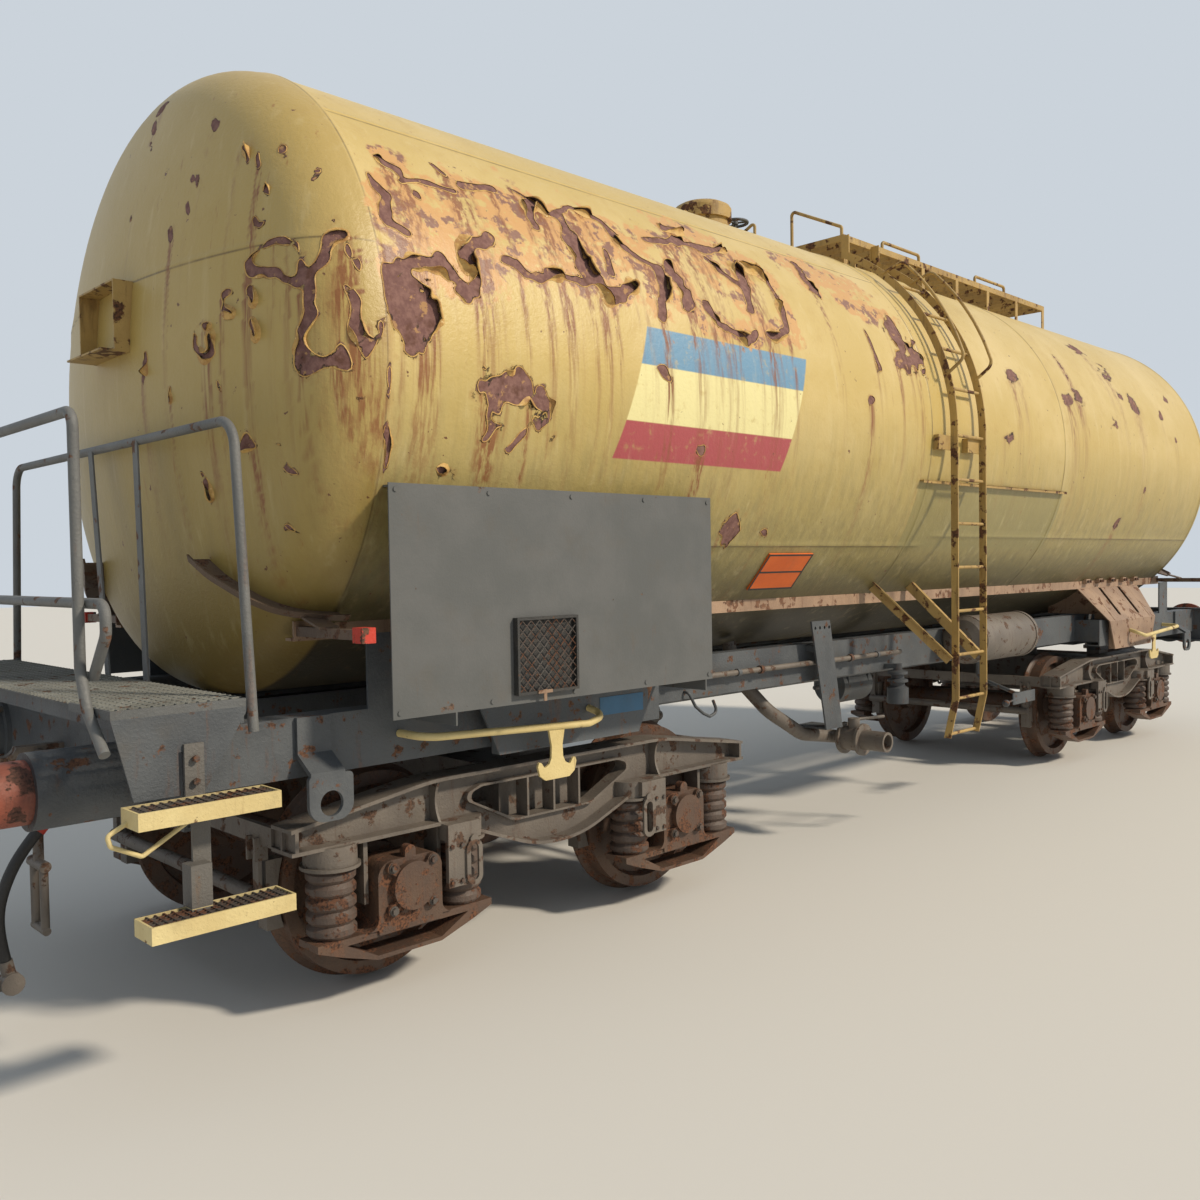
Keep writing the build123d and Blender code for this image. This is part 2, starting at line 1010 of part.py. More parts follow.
# Bolsters with their side bearers, and the centre plates that rest in the bogies' bowls
bolster_outline = [
    (-end_sill_inner_y, bolster_tip_z),
    (-bolster_knee_y, bolster_bottom_z),
    (-centre_sill_y, bolster_bottom_z),
    (-centre_sill_y, centre_sill_top_z),
    (-end_sill_inner_y, centre_sill_top_z),
]
bolster = slab_x(bolster_outline, -bolster_half_length, bolster_half_length)
bolster += block(
    -side_bearer_half_length,
    side_bearer_half_length,
    -side_bearer_y - side_bearer_half,
    -side_bearer_y + side_bearer_half,
    side_bearer_z + seat_gap,
    centre_sill_top_z,
)
bolster_pair = bolster + bolster.mirror(Plane.XZ)
bolster_pair += rod((0, 0, bowl_seat_z + seat_gap), (0, 0, bolster_bottom_z), centre_plate_radius)
bolster_pair += block(
    -bolster_half_length,
    bolster_half_length,
    -centre_pad_half,
    centre_pad_half,
    bolster_bottom_z - centre_pad_thickness,
    bolster_bottom_z,
)
write("bolsters", *at_pivots([bolster_pair]))

# Headstocks: channels across the ends, pierced for the draw hook and the train pipe
headstock = slab_y(
    [
        (-headstock_x, headstock_bottom_z),
        (-headstock_x + headstock_depth, headstock_bottom_z),
        (-headstock_x + headstock_depth, headstock_bottom_z + headstock_web),
        (-headstock_x + headstock_web, headstock_bottom_z + headstock_web),
        (-headstock_x + headstock_web, headstock_top_z - headstock_web),
        (-headstock_x + headstock_depth, headstock_top_z - headstock_web),
        (-headstock_x + headstock_depth, headstock_top_z),
        (-headstock_x, headstock_top_z),
    ],
    -headstock_half_width,
    headstock_half_width,
)
headstock -= block(
    -headstock_x,
    -headstock_x + headstock_web,
    -hook_half_width - seat_gap,
    hook_half_width + seat_gap,
    buffer_z - hook_half_height - seat_gap,
    buffer_z + hook_half_height + seat_gap,
)
headstock -= rod(
    (-headstock_x, -train_pipe_y, train_pipe_z),
    (-headstock_x + headstock_web, -train_pipe_y, train_pipe_z),
    train_pipe_radius + seat_gap,
)
write("headstocks", *along(headstock))

# Buffers: plungers that slide in housings on round bases
buffer_axis = Axis((-headstock_x, -buffer_y, buffer_z), (-1, 0, 0))


def buffer_piece(profile):
    points = [(-headstock_x - reach, -buffer_y, buffer_z + radius) for reach, radius in profile]
    return turned(points, buffer_axis)


housing_bore = plunger_radius + seat_gap
housing = buffer_piece(
    [
        (0, housing_bore),
        (0, base_radius),
        (base_thickness, base_radius),
        (base_thickness, housing_radius),
        (housing_length, housing_radius),
        (housing_length, housing_bore),
    ]
)
write("buffer_housings", *four(housing))
disc_back = buffer_length - disc_crown - disc_thickness
buffer_head = buffer_piece(
    [
        (plunger_tail, 0),
        (plunger_tail, plunger_radius),
        (disc_back - disc_neck, plunger_radius),
        (disc_back, plunger_radius + disc_neck),
        (disc_back, disc_radius),
        (buffer_length - disc_crown, disc_radius),
        (buffer_length, disc_radius / 3),
        (buffer_length, 0),
    ]
)
write("buffer_heads", *four(buffer_head))

# Draw hooks and screw couplings that hang from their pins
hook_x = -headstock_x
hook = edged_face(
    Polyline(
        (hook_x - hook_neck, 0, buffer_z - hook_half_height),
        (hook_x + hook_tail, 0, buffer_z - hook_half_height),
        (hook_x + hook_tail, 0, buffer_z + hook_half_height),
        (hook_x - hook_neck, 0, buffer_z + hook_half_height),
    ),
    ThreePointArc(
        (hook_x - hook_neck, 0, buffer_z + hook_half_height),
        (hook_x - (hook_neck + hook_reach) / 2, 0, buffer_z),
        (hook_x - hook_reach + hook_half_width, 0, buffer_z + 2 * hook_half_height),
    ),
    Line(
        (hook_x - hook_reach + hook_half_width, 0, buffer_z + 2 * hook_half_height),
        (hook_x - hook_reach, 0, buffer_z + 2 * hook_half_height),
    ),
    ThreePointArc(
        (hook_x - hook_reach, 0, buffer_z + 2 * hook_half_height),
        (hook_x - (hook_neck + hook_reach) / 2 - hook_half_width, 0, buffer_z - 2 * hook_half_height),
        (hook_x - hook_neck, 0, buffer_z - hook_half_height),
    ),
)
hook = Solid.extrude(hook, Vector(0, 2 * hook_half_width, 0)).moved(Location((0, -hook_half_width, 0)))
pin_x = hook_x - hook_pin_set
hook -= rod((pin_x, -hook_neck, buffer_z), (pin_x, hook_neck, buffer_z), coupling_pin_radius + seat_gap)
write("draw_hooks", *along(hook))
coupling = rod(
    (pin_x, -link_y - link_radius, buffer_z),
    (pin_x, link_y + link_radius, buffer_z),
    coupling_pin_radius,
)
link_z = buffer_z - link_drop
screw_z = link_z - screw_drop
for side in (-1, 1):
    coupling += rod((pin_x, side * link_y, buffer_z), (pin_x, side * link_y, link_z), link_radius)
for nut_z in (link_z, screw_z):
    coupling += rod(
        (pin_x, -trunnion_half_length, nut_z),
        (pin_x, trunnion_half_length, nut_z),
        trunnion_radius,
    )
coupling += rod((pin_x, 0, link_z), (pin_x, 0, screw_z), screw_radius)
for side in (-1, 1):
    coupling += rod(
        (pin_x, side * link_y, screw_z),
        (pin_x, side * link_y, screw_z - link_drop),
        link_radius,
    )
shackle_z = screw_z - link_drop
coupling += rod(
    (pin_x, -link_y - link_radius, shackle_z),
    (pin_x, link_y + link_radius, shackle_z),
    link_radius,
)
write("screw_couplings", *along(coupling))

# End platform: side plates and beams on posts, under a deck of bars
plate_top_z = deck_z - deck_thickness
side_plate = slab_y(
    [
        (-deck_front_x, plate_top_z),
        (-deck_front_x + side_plate_front, side_plate_bottom_z),
        (-deck_rear_x - side_plate_rear, side_plate_bottom_z),
        (-deck_rear_x, side_plate_slope_z),
        (-deck_rear_x, plate_top_z),
    ],
    -deck_half_width,
    -deck_half_width + side_plate_thickness,
)
side_plate -= block(
    -headstock_x - slot_x,
    -headstock_x - slot_x + slot_width,
    -deck_half_width,
    -deck_half_width + side_plate_thickness,
    side_plate_bottom_z,
    side_plate_bottom_z + slot_height,
)
platform_frame = side_plate + side_plate.mirror(Plane.XZ)
for beam_x in (-deck_front_x + deck_notch + beam_thickness, -deck_rear_x - 2 * beam_thickness):
    platform_frame += block(
        beam_x,
        beam_x + beam_thickness,
        -deck_half_width,
        deck_half_width,
        plate_top_z - beam_height,
        plate_top_z,
    )
for post_y in (-deck_post_y, deck_post_y):
    platform_frame += block(
        -headstock_x,
        -headstock_x + headstock_depth,
        post_y - deck_post_half,
        post_y + deck_post_half,
        headstock_top_z,
        plate_top_z,
    )
for arm_y in (-deck_arm_y, -deck_post_y, deck_post_y, deck_arm_y):
    platform_frame += block(
        -deck_front_x + deck_notch + beam_thickness,
        -deck_rear_x - beam_thickness,
        arm_y - beam_thickness / 2,
        arm_y + beam_thickness / 2,
        plate_top_z - beam_height,
        plate_top_z,
    )
write("platform_frame", platform_frame)


def grating(x0, x1, y0, y1, z0, z1, edge, bar_width, pitch):
    """A rimmed deck with bars across it at a pitch along X."""
    deck = block(x0, x1, y0, y1, z0, z1)
    gaps = round((x1 - x0 - 2 * edge + bar_width) / pitch)
    step = (x1 - x0 - 2 * edge + bar_width) / gaps
    slots = []
    for index in range(gaps):
        start = x0 + edge + index * step
        slots.append(block(start, start + step - bar_width, y0 + edge, y1 - edge, z0, z1))
    return deck.cut(*slots)


deck = grating(
    -deck_half_width,
    deck_half_width,
    deck_rear_x,
    deck_front_x,
    plate_top_z,
    deck_z,
    deck_edge,
    deck_bar,
    deck_bar_pitch,
)
deck = deck.rotate(Axis.Z, 90)
deck -= block(
    -deck_front_x, -deck_front_x + deck_notch, -deck_notch_half, deck_notch_half, plate_top_z, deck_z
)
deck += block(
    -deck_front_x + deck_notch,
    -deck_front_x + deck_notch + deck_edge,
    -deck_notch_half - deck_edge,
    deck_notch_half + deck_edge,
    plate_top_z,
    deck_z,
)
write("platform_deck", deck)


def hoop(x, half):
    """Points of a rail across the car from half of them, given as distance and height."""
    right = [(x, -y, z) for y, z in half]
    return right + [(x, y, z) for y, z in reversed(half)]


front_x = -deck_front_x - rail_tube - seat_gap
front_rail = bent_rod(
    hoop(
        front_x,
        [
            (front_foot_y, front_foot_z),
            (front_kick_y, front_kick_z),
            (front_post_y, front_knee_z),
            (front_post_y, front_rail_z),
        ],
    ),
    front_bend,
    rail_tube,
)
mid_hoop = bent_rod(
    hoop(
        front_x + 2 * rail_tube + seat_gap,
        [
            (mid_hoop_foot_y, mid_hoop_foot_z),
            (mid_hoop_y, mid_hoop_knee_z),
            (mid_hoop_y, mid_rail_z),
        ],
    ),
    mid_bend,
    rail_tube,
)
write("front_handrail", front_rail, mid_hoop)
rear_x = -deck_rear_x + rail_tube + seat_gap
rear_rail = bent_rod(
    hoop(rear_x, [(rear_foot_y, rear_foot_z), (rear_rail_y, rear_rail_z)]), rear_bend, rail_tube
)
for post_foot, post_head in flat_posts:
    flat_post = [
        (post_foot - flat_post_width / 2, plate_top_z),
        (post_foot + flat_post_width / 2, plate_top_z),
        (post_head + flat_post_width / 2, rear_rail_z),
        (post_head - flat_post_width / 2, rear_rail_z),
    ]
    rear_rail += slab_x(flat_post, -deck_rear_x, -deck_rear_x + flat_post_thickness)
write("rear_handrail", rear_rail)

# Corner steps: rimmed trays on a strut from the side plate, with a grip for the hand
step_back_y = deck_half_width + strut_thickness
step_front_y = step_back_y + step_depth
corner_steps = []
for rear, front, low_z, high_z in (upper_strut, lower_strut):
    corner_steps.append(
        block(-headstock_x + rear, -headstock_x + front, -step_back_y, -deck_half_width, low_z, high_z)
    )
rear, front, low_z, high_z = strut_foot
corner_steps.append(
    block(
        -headstock_x + rear,
        -headstock_x + front,
        -step_back_y - strut_foot_depth,
        -deck_half_width,
        low_z,
        high_z,
    )
)
for front_reach, rear_reach, step_z in (upper_step, lower_step):
    x0 = -headstock_x - front_reach
    x1 = -headstock_x + rear_reach
    tray = block(x0, x1, -step_front_y, -step_back_y, step_z - step_height, step_z)
    step_floor_z = step_z - step_recess
    for low_z, high_z in ((step_floor_z, step_z), (step_z - step_height, step_floor_z - step_wall)):
        tray -= block(
            x0 + step_wall,
            x1 - step_wall,
            -step_front_y + step_wall,
            -step_back_y - step_wall,
            low_z,
            high_z,
        )
    corner_steps.append(tray)
grip_x = -headstock_x - upper_step[0]
grip = [(grip_x + shift, -grip_y, upper_step[2] - drop) for shift, drop in grip_route]
corner_steps.append(bent_rod(grip, grip_bend, grip_radius))
write("corner_steps", *across(corner_steps[0].fuse(*corner_steps[1:])))

# Sign boards with a ledge to the tank and fins to the end sill, and the document boxes on them
board_x0 = -barrel_half_length - board_overlap
board_x1 = board_x0 + board_length
board_top_z = board_bottom_z + board_height
board = block(board_x0, board_x1, -board_y, -board_y + board_thickness, board_bottom_z, board_top_z)
board += block(
    -barrel_half_length + seam_half_width,
    board_x1,
    -board_y,
    -tank_radius / 2,
    board_top_z - ledge_thickness,
    board_top_z,
) - tank_room
for fin_x in (board_x0 + fin_inset, -end_sill_end_x - fin_end_inset):
    board += block(
        fin_x,
        fin_x + fin_thickness,
        -board_y,
        -end_sill_outer_y,
        board_bottom_z - fin_height,
        board_bottom_z + ledge_thickness,
    ) - block(
        fin_x,
        fin_x + fin_thickness,
        -saddle_knee_y - bolt_play,
        -end_sill_outer_y,
        end_sill_top_z - sill_web,
        board_top_z,
    )
write("sign_boards", *across(board))
box_x0 = board_x0 + box_x
document_box = block(
    box_x0, box_x0 + box_length, -board_y - box_depth, -board_y, box_z, box_z + box_height
) - block(
    box_x0 + box_wall,
    box_x0 + box_length - box_wall,
    -board_y - box_depth,
    -board_y - box_wall / 2,
    box_z + box_wall,
    box_z + box_height - box_wall,
)
write("document_boxes", *across(document_box))

# Ladders: stringers that rise beside the tank and curve over it to the walkway
ladder_outer_y = ladder_y + ladder_flat
curve_end_y = walkway_outer_y + ladder_flat / 4


def on_curve(radius, y):
    return (0, -y, tank_z + sqrt(radius**2 - y**2))


def stringer_face():
    top = walkway_z - walkway_plate / 2
    inner = on_curve(ladder_y, curve_end_y)
    outer = on_curve(ladder_outer_y, curve_end_y + ladder_flat)
    return edged_face(
        Polyline(
            (0, -ladder_y, tank_z),
            (0, -ladder_y, ladder_kick_z),
            (0, -ladder_y + ladder_kick, ladder_bottom_z),
            (0, -ladder_outer_y + ladder_kick, ladder_bottom_z),
            (0, -ladder_outer_y, ladder_kick_z),
            (0, -ladder_outer_y, tank_z),
        ),
        ThreePointArc(
            (0, -ladder_outer_y, tank_z), on_curve(ladder_outer_y, ladder_outer_y * 0.8), outer
        ),
        Polyline(
            outer,
            (0, -curve_end_y - ladder_flat, top),
            (0, -walkway_outer_y - seat_gap, top),
            (0, -walkway_outer_y - seat_gap, inner[2]),
            inner,
        ),
        ThreePointArc(inner, on_curve(ladder_y, ladder_y * 0.8), (0, -ladder_y, tank_z)),
    )


stringer = Solid.extrude(stringer_face(), Vector(ladder_thickness, 0, 0))
ladder = stringer.moved(Location((ladder_x - ladder_half_width - ladder_thickness / 2, 0, 0)))
ladder += stringer.moved(Location((ladder_x + ladder_half_width - ladder_thickness / 2, 0, 0)))
rung_y = ladder_y + ladder_flat / 2
rung_places = [(rung_y - ladder_kick, ladder_bottom_z + 2 * rung_radius), (rung_y, ladder_kick_z)]
straight_rungs = int((tank_z - ladder_kick_z) / rung_pitch)
rung_places += [(rung_y, ladder_kick_z + index * rung_pitch) for index in range(1, straight_rungs + 1)]
rung_turn = rung_pitch / rung_y
for index in range(1, 5):
    angle = index * rung_turn
    rung_places.append((rung_y * cos(angle), tank_z + rung_y * sin(angle)))
for y, z in rung_places:
    ladder += rod(
        (ladder_x - ladder_half_width, -y, z), (ladder_x + ladder_half_width, -y, z), rung_radius
    )
foot_y = curve_end_y + ladder_flat
stringers_x = (ladder_x - ladder_half_width, ladder_x + ladder_half_width)
for stringer_x, brace_shift in zip(stringers_x, brace_shifts):
    x0 = stringer_x - ladder_thickness / 2
    x1 = stringer_x + ladder_thickness / 2
    ladder += block(
        x0, x1, -foot_y - ladder_flat, -foot_y, tank_z, on_curve(rung_y, foot_y)[2]
    ) - tank_room
    ladder += block(
        x1 - ladder_tie_length,
        x1,
        -ladder_y - ladder_thickness,
        -ladder_y,
        ladder_tie_z - ladder_tie_half_height,
        ladder_tie_z + ladder_tie_half_height,
    )
    ladder += block(
        x1 - ladder_tie_length,
        x1 - ladder_tie_length + ladder_tie_stand,
        -ladder_y,
        -tank_radius / 2,
        ladder_tie_z - ladder_tie_half_height,
        ladder_tie_z + ladder_tie_half_height,
    ) - tank_room
    brace_y = sqrt(tank_radius**2 - (tank_z - brace_top_z) ** 2)
    ladder += angle_bar(
        (stringer_x - brace_shift, -brace_y + brace_width, brace_top_z),
        (stringer_x, -ladder_y - ladder_thickness, brace_foot_z),
        brace_width,
        brace_thickness,
        1 if stringer_x > ladder_x else -1,
    ) - tank_room
    hoop_places = [(hoop_foot_angles[0], rung_y)]
    for index in range(hoop_corners):
        hoop_places.append((hoop_first_angle + index * hoop_step_angle, hoop_radius))
    hoop_places.append((hoop_foot_angles[1], rung_y))
    hoop_points = []
    for tilt, reach in hoop_places:
        hoop_points.append((stringer_x, -reach * cos(radians(tilt)), tank_z + reach * sin(radians(tilt))))
    hoop_bends = [hoop_bend] + [hoop_curve] * (hoop_corners - 2) + [hoop_bend]
    ladder += bent_rod(hoop_points, hoop_bends, hoop_rod)
write("ladders", *across(ladder))

# Walkways on posts, each with a sloped rail at its near end and low rails on its outer edge
walkway = grating(
    walkway_x0,
    walkway_x1,
    -walkway_outer_y,
    -walkway_inner_y,
    walkway_z - walkway_plate,
    walkway_z,
    walkway_edge,
    walkway_bar,
    walkway_bar_pitch,
)
for post_x in walkway_posts:
    for post_y in (walkway_inner_y, walkway_outer_y - post_thickness):
        walkway += block(
            post_x, post_x + post_width, -post_y - post_thickness, -post_y, tank_z, walkway_z
        ) - tank_room
write("walkways", *across(walkway))
hoop_x = walkway_x0 + walk_rail_radius
walk_rail = bent_rod(
    [
        (hoop_x, -walkway_inner_y - end_hoop_inset, walkway_z),
        (hoop_x, -walkway_inner_y - end_hoop_inset, walkway_z + end_hoop_height),
        (hoop_x, -walkway_outer_y + end_hoop_inset, walkway_z + end_hoop_low),
        (hoop_x, -walkway_outer_y + end_hoop_inset, walkway_z),
    ],
    walk_rail_radius * 2,
    walk_rail_radius,
)
walk_rails = across(walk_rail)
for foot_x, far_foot_x in low_rails:
    rail_y = -walkway_outer_y + walk_rail_radius
    walk_rails += across(
        bent_rod(
            [
                (foot_x, rail_y, walkway_z),
                (foot_x, rail_y, walkway_z + low_rail_height),
                (far_foot_x, rail_y, walkway_z + low_rail_height),
                (far_foot_x, rail_y, walkway_z),
            ],
            walk_rail_radius * 2,
            walk_rail_radius,
        )
    )
write("walkway_rails", *walk_rails)

# Manhole neck with hinge ears, and its domed lid
neck_top_z = tank_top_z + neck_height
hinge_z = neck_top_z + lid_gap
neck = rod((manhole_x, 0, tank_top_z - neck_height), (manhole_x, 0, neck_top_z), neck_radius)
for side in (-1, 1):
    ear_y0 = side * hinge_ear_y0
    ear_y1 = side * hinge_ear_y1
    neck += block(
        hinge_x - hinge_ear_radius,
        manhole_x - neck_radius + hinge_ear_radius,
        ear_y0,
        ear_y1,
        neck_top_z - 3 * hinge_ear_radius,
        neck_top_z - hinge_ear_radius,
    )
    neck += rod((hinge_x, ear_y0, hinge_z), (hinge_x, ear_y1, hinge_z), hinge_ear_radius)
    neck += block(
        hinge_x - hinge_ear_radius,
        hinge_x + hinge_ear_radius,
        ear_y0,
        ear_y1,
        neck_top_z - 2 * hinge_ear_radius,
        hinge_z,
    )
neck += rod((hinge_x, -hinge_ear_y1, hinge_z), (hinge_x, hinge_ear_y1, hinge_z), hinge_pin_radius)
write("manhole_neck", neck - tank_room)
lid_edge = [(lid_radius, hinge_z)]
for share, rise in lid_dome:
    lid_edge.append((lid_radius * share, hinge_z + lid_skirt + lid_rise * rise))
lid = upright(lid_edge, manhole_x, 0)
lid -= rod((manhole_x, 0, hinge_z), (manhole_x, 0, hinge_z + lid_recess), neck_radius - 2 * lid_recess)
lid += block(
    hinge_x,
    manhole_x - lid_radius + hinge_ear_radius,
    -hinge_arm_half,
    hinge_arm_half,
    hinge_z,
    hinge_z + lid_recess,
)
lid += rod((hinge_x, -hinge_arm_half, hinge_z), (hinge_x, hinge_arm_half, hinge_z), hinge_ear_radius)
lid -= rod(
    (hinge_x, -hinge_ear_y0, hinge_z), (hinge_x, hinge_ear_y0, hinge_z), hinge_pin_radius + hinge_play
)
write("manhole_lid", lid)

# Top valve with its hand wheel, and a relief valve beside it
valve_foot_z = tank_top_z - valve_flange_thickness
valve_top_z = tank_top_z + valve_flange_thickness + valve_body_height
wheel_z = tank_top_z + wheel_lift
top_valve = upright(
    [
        (valve_flange_radius, valve_foot_z),
        (valve_flange_radius, tank_top_z + valve_flange_thickness),
        (valve_body_radius, tank_top_z + valve_flange_thickness),
        (valve_body_radius, valve_top_z),
        (spindle_radius, valve_top_z),
        (spindle_radius, wheel_z + 2 * hand_wheel_tube),
    ],
    valve_x,
    0,
)
wheel_start = Plane(origin=(valve_x + hand_wheel_radius, 0, wheel_z), z_dir=(0, 1, 0))
wheel_section = wheel_start * Circle(hand_wheel_tube)
top_valve += Solid.revolve(wheel_section.faces()[0], 360, Axis((valve_x, 0, wheel_z), (0, 0, 1)))
top_valve += rod(
    (valve_x, 0, wheel_z - hand_wheel_tube),
    (valve_x, 0, wheel_z + hand_wheel_tube),
    hub_of_wheel,
)
for index in range(3):
    angle = radians(60 + 120 * index)
    rim = (valve_x + hand_wheel_radius * cos(angle), hand_wheel_radius * sin(angle), wheel_z)
    top_valve += rod((valve_x, 0, wheel_z), rim, hand_wheel_tube * 0.7)
relief = upright(
    [
        (relief_radius, valve_foot_z),
        (relief_radius, tank_top_z + relief_height * 0.8),
        (relief_radius * 0.7, tank_top_z + relief_height),
    ],
    relief_x,
    0,
)
write("top_fittings", top_valve - tank_room, relief - tank_room)

# Lifting eyes, bent out from the end sills
eye_back_y = eye_y - eye_thickness
leg = slab_x(
    [
        (-end_sill_outer_y, end_sill_top_z),
        (-end_sill_outer_y - eye_thickness, end_sill_top_z),
        (-end_sill_outer_y - eye_thickness, eye_knee_z),
        (-eye_y, eye_bend_z),
        (-eye_y, eye_z),
        (-eye_back_y, eye_z),
        (-eye_back_y, eye_bend_z - eye_thickness / 2),
        (-end_sill_outer_y, eye_knee_z - eye_thickness / 2),
    ],
    -eye_x + eye_leg[0],
    -eye_x + eye_leg[1],
)
tongue = filleted_slab(
    [
        (-eye_x - eye_half_width, eye_bottom_z),
        (-eye_x - eye_half_width, eye_bend_z - eye_thickness / 2),
        (-eye_x + eye_half_width, eye_bend_z - eye_thickness / 2),
        (-eye_x + eye_half_width, eye_bottom_z),
    ],
    [eye_corner, eye_shoulder, eye_shoulder, eye_corner],
    -eye_y,
    -eye_back_y,
)
eye_hole = rod((-eye_x, -eye_y, eye_z), (-eye_x, -eye_back_y, eye_z), eye_hole_radius)
write("lifting_eyes", *four(leg + tongue - eye_hole))

# Rope hooks: an anchor-shaped plate on a bent bar
hook_outline = []
for share, drop in rope_hook_edge:
    hook_outline.append((share * rope_hook_half_width, rope_hook_top_z - drop * rope_hook_height))
hook_outline += [(-x, z) for x, z in reversed(hook_outline)]
rope_hook = filleted_slab(
    [(x - rope_hook_x, z) for x, z in hook_outline],
    rope_hook_corner,
    -hook_bar_y - rope_hook_thickness / 2,
    -hook_bar_y + rope_hook_thickness / 2,
)
hook_bar = bent_rod([(-x, -y, z) for x, y, z in hook_bar_route], hook_bar_bends, hook_bar_radius)
bar_start_x = hook_bar_route[0][0]
bar_room = block(
    -bar_start_x - 2 * hook_bar_radius,
    -bar_start_x + 2 * hook_bar_radius,
    -end_sill_outer_y - seat_gap,
    -end_sill_inner_y,
    end_sill_bottom_z,
    end_sill_top_z,
) + block(
    -hook_bar_route[-1][0] - 2 * hook_bar_radius,
    -hook_bar_route[-1][0] + 2 * hook_bar_radius,
    -saddle_knee_y - seat_gap,
    -end_sill_outer_y,
    bolster_bottom_z,
    saddle_knee_z,
)
write("rope_hooks", *four(hook_bar + rope_hook - bar_room))

# Discharge pipes from the tank's underside, their hangers, and the valves at the sides
pipe = bent_rod([(x, -y, z) for x, y, z in pipe_route], pipe_bends, pipe_radius)
write("discharge_pipes", *across(pipe - tank_room))
hanger_x0, hanger_x1, hanger_z = hanger_top
foot_x0, foot_x1 = hanger_foot
run_start, run_end = pipe_route[3], pipe_route[4]
fall = (run_start[2] - run_end[2]) / (run_end[0] - run_start[0])
clip_z = run_start[2] - fall * (foot_x0 - run_start[0]) + pipe_radius * sqrt(1 + fall**2) + seat_gap
hanger = slab_y(
    [(hanger_x0, hanger_z), (hanger_x1, hanger_z), (foot_x1, clip_z), (foot_x0, clip_z)],
    -hanger_y - hanger_plate,
    -hanger_y,
)
hanger += block(
    foot_x0, foot_x1, -hanger_y - hanger_plate, -pipe_y + pipe_radius, clip_z, clip_z + hanger_plate
)
spacer_x0, spacer_x1, spacer_z0, spacer_z1 = hanger_spacer
hanger += block(spacer_x0, spacer_x1, -hanger_y, -solebar_y, spacer_z0, spacer_z1)
hole_pitch = (hanger_x1 - hanger_x0) / hanger_holes
for index in range(hanger_holes):
    hole_x = hanger_x0 + hanger_hole_drop / 3 + (index + 0.5) * hole_pitch
    hanger -= rod(
        (hole_x, -hanger_y - hanger_plate, hanger_z - hanger_hole_drop),
        (hole_x, -hanger_y, hanger_z - hanger_hole_drop),
        hanger_hole_radius,
    )
pipe_room = bent_rod([(x, -y, z) for x, y, z in pipe_route], pipe_bends, pipe_radius + seat_gap)
write("discharge_hangers", *across(hanger - pipe_room))
valve_axis = Axis((outlet_x, 0, outlet_z), (0, -1, 0))
valve_front_y = valve_back_y + valve_length
mouth_y = valve_front_y + nozzle_length
valve_profile = [
    # distance from the middle, radius
    (valve_back_y, valve_ring_radius),
    (valve_back_y + valve_ring, valve_ring_radius),
    (valve_back_y + valve_ring, valve_radius),
    (valve_front_y - valve_ring, valve_radius),
    (valve_front_y - valve_ring, valve_ring_radius),
    (valve_front_y, valve_ring_radius),
    (valve_front_y, nozzle_radius),
    (mouth_y, nozzle_radius),
    (mouth_y, nozzle_bore),
    (mouth_y - nozzle_bore_depth, nozzle_bore),
]
outline = [(outlet_x, -valve_back_y, outlet_z)]
outline += [(outlet_x, -y, outlet_z + radius) for y, radius in valve_profile]
outline.append((outlet_x, -mouth_y + nozzle_bore_depth, outlet_z))
valve = turned(outline, valve_axis)
bonnet_y = -valve_back_y - valve_length / 2
valve += rod((outlet_x, bonnet_y, outlet_z), (outlet_x, bonnet_y, bonnet_z), bonnet_radius)
valve += rod(
    (outlet_x, bonnet_y, bonnet_z - handle_radius),
    (outlet_x + handle_length, bonnet_y - handle_length / 4, bonnet_z - handle_radius),
    handle_radius,
)
write("discharge_valves", *across(valve))

# Air reservoir in its bands, on the right-hand solebar
reservoir_y = -solebar_y - reservoir_radius - band_thickness - seat_gap
reservoir_axis = Axis((0, reservoir_y, reservoir_z), (1, 0, 0))
reservoir_profile = [
    (reservoir_x0, 0),
    (reservoir_x0, reservoir_radius * 0.5),
    (reservoir_x0 + reservoir_end / 2, reservoir_radius * 0.85),
    (reservoir_x0 + reservoir_end, reservoir_radius),
    (reservoir_x1 - reservoir_end, reservoir_radius),
    (reservoir_x1 - reservoir_end / 2, reservoir_radius * 0.85),
    (reservoir_x1, reservoir_radius * 0.5),
    (reservoir_x1, 0),
]
reservoir = turned(
    [(x, reservoir_y, reservoir_z + radius) for x, radius in reservoir_profile],
    reservoir_axis,
)
for band_start in (reservoir_x0 + band_x, reservoir_x1 - band_x - band_width):
    reservoir += rod(
        (band_start, reservoir_y, reservoir_z),
        (band_start + band_width, reservoir_y, reservoir_z),
        reservoir_radius + band_thickness,
    )
    reservoir += block(
        band_start,
        band_start + band_width,
        -solebar_y - reservoir_radius / 2,
        -solebar_y,
        solebar_top_z - 2 * band_width,
        solebar_top_z,
    )
write("air_reservoir", reservoir)

# Distributor valve on a bracket below the right-hand solebar
distributor_y = -solebar_y - distributor_reach
distributor = upright(distributor_profile, distributor_x, distributor_y)
distributor += block(
    distributor_x - distributor_bracket / 2,
    distributor_x + distributor_bracket / 2,
    distributor_y,
    -solebar_y,
    solebar_bottom_z + sill_web,
    solebar_bottom_z + sill_web + distributor_bracket / 2,
)
write("distributor_valve", distributor)

